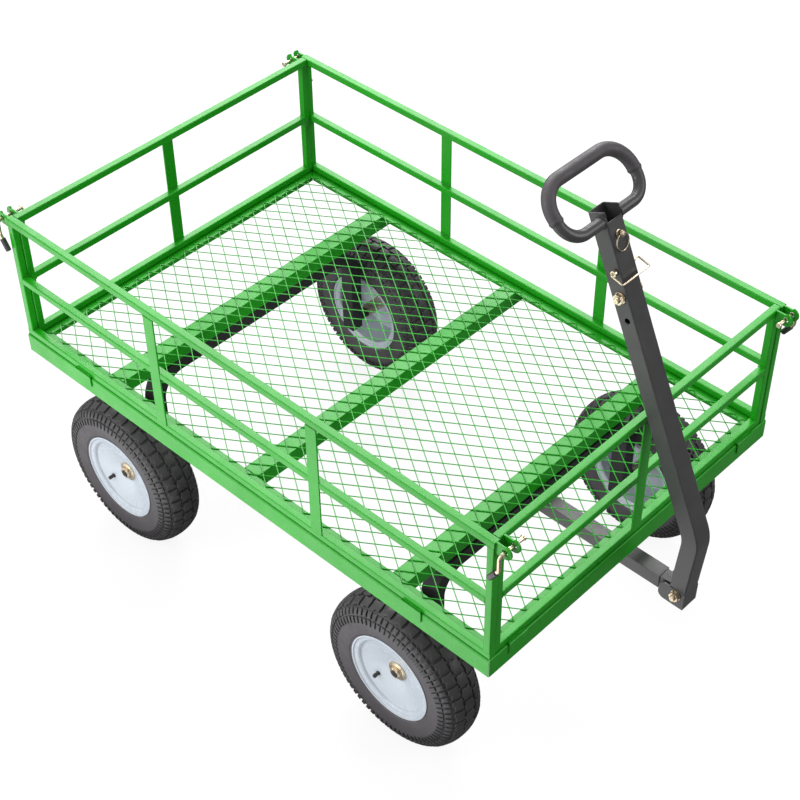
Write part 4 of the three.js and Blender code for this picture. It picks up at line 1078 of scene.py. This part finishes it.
def tube_path(extra=0.0):
    """The handle tube's centre line, lengthened past both ends by extra."""
    foot, knee, tip = (on_handle(place) for place in (FOOT, KNEE, TIP))
    lower, upper = (knee - foot).normalized(), (tip - knee).normalized()
    half = TUBE_DEPTH / 2
    back_lower, back_upper = X_AXIS.cross(lower), X_AXIS.cross(upper)
    back_lower *= copysign(1, back_lower.y)
    back_upper *= copysign(1, back_upper.y)
    bisector = (back_lower + back_upper).normalized()
    centre_knee = knee + bisector * (half / bisector.dot(back_upper))
    start = foot + back_lower * half - lower * extra
    end = tip + back_upper * half + upper * extra
    return rounded([start, centre_knee, end], KNEE_RADIUS, 14, closed=False)


def build_handle_tube():
    outer = sweep(tube_path(), box_outline(TUBE_WIDTH, TUBE_DEPTH, TUBE_CORNER, 4))
    bore = box_outline(TUBE_WIDTH - 2 * TUBE_WALL, TUBE_DEPTH - 2 * TUBE_WALL, TUBE_CORNER - TUBE_WALL, 2)
    inner = sweep(tube_path(5 * MM), bore)
    tip = on_handle(TIP)
    half = TUBE_WIDTH / 2 - TUBE_WALL - 0.5 * MM
    mouth = box_outline(2 * half, 2 * MOUTH_DEPTH, 3 * MM, 4)
    mouth_cut = sweep([tip + HANDLE_FRONT * 8 * MM, tip - HANDLE_FRONT * (TUBE_WALL + 3 * MM)], mouth)
    pin = tip - HANDLE_UP * HITCH_DOWN
    pin_bore = rod_between(pin + HANDLE_FRONT * 9 * MM, pin - HANDLE_FRONT * 50 * MM, 5.5 * MM)
    spare_ends = (on_handle(SPARE_HOLE, x) for x in (-TUBE_WIDTH, TUBE_WIDTH))
    spare = rod_between(*spare_ends, SPARE_HOLE_RADIUS)
    mesh = carved("handle_tube_bent", outer, [inner, mouth_cut, pin_bore, spare])
    add_piece("handle_tube_bent", mesh, "handle", ["handle_tube"], CHARCOAL)


def loop_path():
    lean = Matrix.Rotation(LOOP_LEAN, 4, "X")
    foot = on_handle(LOOP_FOOT)
    start = TUBE_WIDTH / 2 + 0.1 * MM
    flat = [(-start, 0), (-LOOP_HALF_X, 0), (-LOOP_HALF_X, LOOP_HEIGHT),
            (LOOP_HALF_X, LOOP_HEIGHT), (LOOP_HALF_X, 0), (start, 0)]
    corners = [foot + lean @ Vector((x, y, 0)) for x, y in flat]
    return rounded(corners, LOOP_HEIGHT / 2 - 0.01 * MM, 18, closed=False)


def part_of(path, low, high, step):
    """The stretch of a path between two shares of its length, evenly stepped."""
    reach = distances(path)
    total = reach[-1]
    count = int((high - low) * total / step)
    result, index = [], 0
    for k in range(count + 1):
        target = total * (low + (high - low) * k / count)
        while index < len(path) - 2 and reach[index + 1] < target:
            index += 1
        span = reach[index + 1] - reach[index]
        result.append(path[index].lerp(path[index + 1], (target - reach[index]) / span))
    return result


def build_grip():
    path = loop_path()
    normal = Matrix.Rotation(LOOP_LEAN, 3, "X") @ Z_AXIS
    loop = sweep(part_of(path, 0, 1, 3 * MM), circle(LOOP_RADIUS, 28), normal)
    add_piece("grip_loop_round", loop, "handle", ["grip_loop"], CHARCOAL)

    def sleeve(share):
        """Rolled lips at both ends and a soft swell towards the middle of the grip."""
        lip = min(1, 40 * share, 40 * (1 - share))
        swell = 0.5 * MM * sin(pi * share) - 0.35 * MM
        collar = 0.9 * MM * exp(-((min(share, 1 - share) - 0.018) / 0.008) ** 2)
        radius = COVER_RADIUS - 1.6 * MM * (1 - lip) ** 2 + swell * lip + collar
        ring = circle(radius, 36)
        return [(x * (1 + 0.006 * noise.noise((x * 300, y * 300, share * 40))), y) for x, y in ring]

    cover = sweep(part_of(path, COVER_SHARE, 1 - COVER_SHARE, 1.5 * MM), sleeve, normal)
    piece = add_piece("grip_sleeve", cover, "handle", ["grip_cover"], GRIP)
    beads = []
    for side in (-1, 1):
        centre = on_handle(LOOP_FOOT, side * (TUBE_WIDTH / 2 + 0.3 * MM))
        beads.append(weld(ring_path(centre, LOOP_RADIUS + 0.5 * MM), 1.7 * MM, 600 + side, X_AXIS))
    for side in (-1, 1):
        edge = on_handle(FOOT) + X_AXIS * side * (TUBE_WIDTH / 2 - 0.2 * MM)
        beads.append(weld([edge + Y_AXIS * y * MM for y in (2, 35)], 1.7 * MM, 620 + side, X_AXIS))
    add_piece("handle_welds", combine(*beads), "handle", [], CHARCOAL, crease=WELD_CREASE)


def bolt_shape(half_grip):
    """A hexagon bolt about X with its head at +X, a washer under each side and a nut run up from -X."""
    face, washer, bore = half_grip + GAP, 1.4 * MM, BOLT_RADIUS - 0.3 * MM
    head_end, nut_end = face + 7 * MM, -face - 9 * MM
    dome = [(0, head_end - 0.5 * MM), (BOLT_RADIUS + 0.5 * MM, head_end - 0.5 * MM),
            (BOLT_RADIUS, head_end + 0.1 * MM), (0, head_end + 0.3 * MM)]
    shank = [(0, -face), (BOLT_RADIUS, -face), (BOLT_RADIUS, face + 1 * MM), (0, face + 1 * MM)]
    shapes = [
        lathe(shank, 28, closed=False),
        thread(BOLT_RADIUS - 0.1 * MM, nut_end - 5 * MM, -face + 0.5 * MM),
        nut_shape(BOLT_HEXAGON, bore, face + washer, head_end),
        lathe(dome, 28, closed=False),
        nut_shape(BOLT_HEXAGON, bore, nut_end, -face - washer),
    ]
    inner, outer = BOLT_RADIUS + 0.2 * MM, BOLT_HEXAGON * 1.02
    for start in (face, -face - washer):
        ring = [(inner, start), (outer, start), (outer, start + washer), (inner, start + washer)]
        shapes.append(lathe(rounded(ring, 0.25 * MM, 2), 40))
    return combine(*shapes)


def build_bolts():
    for node, half_grip in (("handle_pivot_bolt", 22 * MM), ("handle_cross_bolt", TUBE_WIDTH / 2)):
        shape = moved(bolt_shape(half_grip), Matrix.Translation(middle_of(node, x=0)) @ TILT)
        add_piece(node + "_hex", shape, "handle", [node], ZINC)


def build_bail():
    """A turned pin through the tube and the bent wire that springs round it."""
    pin = middle_of("bail_pin", x=0)
    end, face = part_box("bail_pin")[1].x / MM, (TUBE_WIDTH / 2 + GAP) / MM
    corners = [(0, -end + 1.5), (2.4, -end + 1.3), (3, -end), (6, -end), (6, -face - 2.2), (4.7, -face - 2),
               (4.7, -face), (4, -face), (4, end - 5), (3.3, end - 4.6), (3.3, end - 3), (4, end - 2.6),
               (4, end), (0, end)]
    shape = turned(outline_mm(corners, [0] + [0.4] * 12 + [0], 3), 36, pin, X_AXIS)
    add_piece("bail_pin_turned", shape, "handle", ["bail_pin"], ZINC)
    bar = pin + HANDLE_FRONT * BAIL_FORWARD - HANDLE_UP * BAIL_DOWN
    tail = (end + 0.3) * MM
    stations = ((pin, -tail), (pin, BAIL_LEFT), (bar, BAIL_LEFT),
                (bar, BAIL_RIGHT), (pin, BAIL_RIGHT), (pin, tail))
    bends = [place + X_AXIS * x for place, x in stations]
    wire = sweep(rounded(bends, BAIL_BEND, 7, closed=False), circle(BAIL_WIRE, 14), HANDLE_UP)
    add_piece("bail_wire_sprung", wire, "bail", ["bail_wire"], ZINC)


def build_hitch_pin():
    """The pin in the handle's mouth, with an eye across its head and a split ring in the eye."""
    hole = on_handle(TIP) - HANDLE_UP * HITCH_DOWN
    corners = [(0, 12), (3.6, 12), (6, 9.6), (6, 1.6), (7.4, 1.2), (7.4, 0.35), (5, 0.3), (5, -40.5),
               (3.6, -43), (0, -43)]
    profile = outline_mm(corners, [0, 1.6, 1.6, 0.3, 0.3, 0.3, 0.3, 1, 0.6, 0], 4)
    eye = hole + HANDLE_FRONT * EYE_FORWARD
    bore = rod_between(eye - X_AXIS * TUBE_WIDTH / 2, eye + X_AXIS * TUBE_WIDTH / 2, 2.6 * MM)
    mesh = carved("hitch_pin_turned", turned(profile, 40, hole, HANDLE_FRONT), [bore])
    add_piece("hitch_pin_turned", mesh, "hitch_pin", ["hitch_pin"], ZINC)
    hang = -HANDLE_UP * cos(RING_LEAN) - HANDLE_FRONT * sin(RING_LEAN)
    facing = X_AXIS.cross(hang)
    centre = eye + hang * RING_DROP
    count = 96
    coil = []
    for k in range(RING_TURNS * count - 3):
        angle = TAU * (k / count + 0.3)
        offset = facing * (k / (RING_TURNS * count) - 0.5) * 1.5 * MM
        coil.append(centre + (X_AXIS * cos(angle) + hang * sin(angle)) * RING_RADIUS + offset)
    ring = sweep(coil, circle(RING_WIRE, 10), facing)
    add_piece("hitch_split_ring", ring, "hitch_ring", ["hitch_ring"], ZINC)


# Studio

FLOOR_SIZE = 9
FLOOR_GLOW = 0.87


def build_floor():
    """White to the camera, dark to everything that it could tint."""
    bm = bmesh.new()
    bmesh.ops.create_grid(bm, x_segments=8, y_segments=8, size=FLOOR_SIZE)
    mesh = bpy.data.meshes.new("floor")
    bm.to_mesh(mesh)
    bm.free()
    floor = add_object("floor", mesh)
    finish = Finish("floor")
    tone = finish.mix(finish.patches(0.8, 2, 0.3, 0.7), (0.12, 0.12, 0.12), (0.14, 0.14, 0.14))
    finish.link(tone, "Base Color")
    seen = finish.add("ShaderNodeLightPath").outputs["Is Camera Ray"]
    finish.link(finish.times(seen, FLOOR_GLOW), "Emission Strength")
    finish.fix(Roughness=0.9, Emission_Color=(1, 1, 1, 1), Specular_IOR_Level=0.1)
    mesh.materials.append(finish.material)


def area_light(name, place, target, width, height, radiance):
    data = bpy.data.lights.new(name, "AREA")
    data.shape = "RECTANGLE"
    data.size, data.size_y = width, height
    data.energy = radiance * pi * width * height
    light = add_object(name, data)
    light.location = place
    light.rotation_mode = "QUATERNION"
    light.rotation_quaternion = (Vector(target) - Vector(place)).to_track_quat("-Z", "Y")
    light.visible_camera = False


def build_world():
    """A pale surround, dimmer towards the front right, and plain white to the camera."""
    world = bpy.data.worlds.new("studio")
    world.use_nodes = True
    tree = world.node_tree
    place = add_node(tree, "ShaderNodeTexCoord").outputs["Generated"]
    bright_side = Vector((-0.45, 0.62, 0.64)).normalized()
    facing = add_node(tree, "ShaderNodeVectorMath", {0: place, 1: bright_side}, operation="DOT_PRODUCT")
    limits = {"From Min": -0.7, "From Max": 0.7, "To Min": 0.12, "To Max": 0.7}
    level = add_node(tree, "ShaderNodeMapRange", {"Value": facing.outputs["Value"], **limits}).outputs[0]
    seen = add_node(tree, "ShaderNodeLightPath").outputs["Is Camera Ray"]
    strength = add_node(tree, "ShaderNodeMix", {0: seen, 2: level, 3: 1.0}).outputs[0]
    shade = tree.nodes["Background"]
    shade.inputs["Color"].default_value = (1, 1, 1, 1)
    tree.links.new(strength, shade.inputs["Strength"])
    bpy.context.scene.world = world


def build_lights():
    middle = (cad_low + cad_high) / 2
    target = (middle.x, middle.y, 0.45)
    area_light("key_softbox", (-3.2, 1.7, 2.35), target, 2.4, 2.4, 4.3)
    area_light("low_fill", (-2.6, 0.4, 0.4), (0, 0.4, 0.3), 2.4, 0.5, 4.0)
    area_light("under_fill", (-0.15, 0.06, 0.2), (0.4, 0.06, 0.25), 1.6, 0.34, 1.1)
    area_light("far_reflector", (2.9, 2.9, 4.1), target, 4.6, 4.4, 6.5)
    area_light("side_reflector", (-1.0, 0.5, 0.03), (-1.0, 0.5, 3), 0.9, 2.6, 2.0)
    area_light("front_fill", (1.7, -3.1, 2.3), target, 2.4, 1.8, 4.0)


def build_camera():
    azimuth, elevation, roll = radians(-47.32), radians(43.69), radians(0.13)
    data = bpy.data.cameras.new("camera")
    data.lens = 78.04
    data.sensor_width = 36
    data.shift_x = -0.0333
    data.shift_y = 0.0370
    camera = add_object("camera", data)
    level = Vector((sin(azimuth), -cos(azimuth), 0)) * cos(elevation)
    back = level + Z_AXIS * sin(elevation)
    camera.location = (-1.9321, -1.8300, 2.8722)
    camera.rotation_mode = "QUATERNION"
    camera.rotation_quaternion = (-back).to_track_quat("-Z", "Y") @ Quaternion(Z_AXIS, roll)
    bpy.context.scene.camera = camera


build_camera()
build_world()
build_lights()
build_floor()
build_bed()
build_deck()
build_panels()
build_latches()
build_wheels()
build_undercarriage()
build_frame_welds()
build_handle_tube()
build_grip()
build_bolts()
build_bail()
build_hitch_pin()
bpy.context.scene.view_settings.view_transform = "Standard"
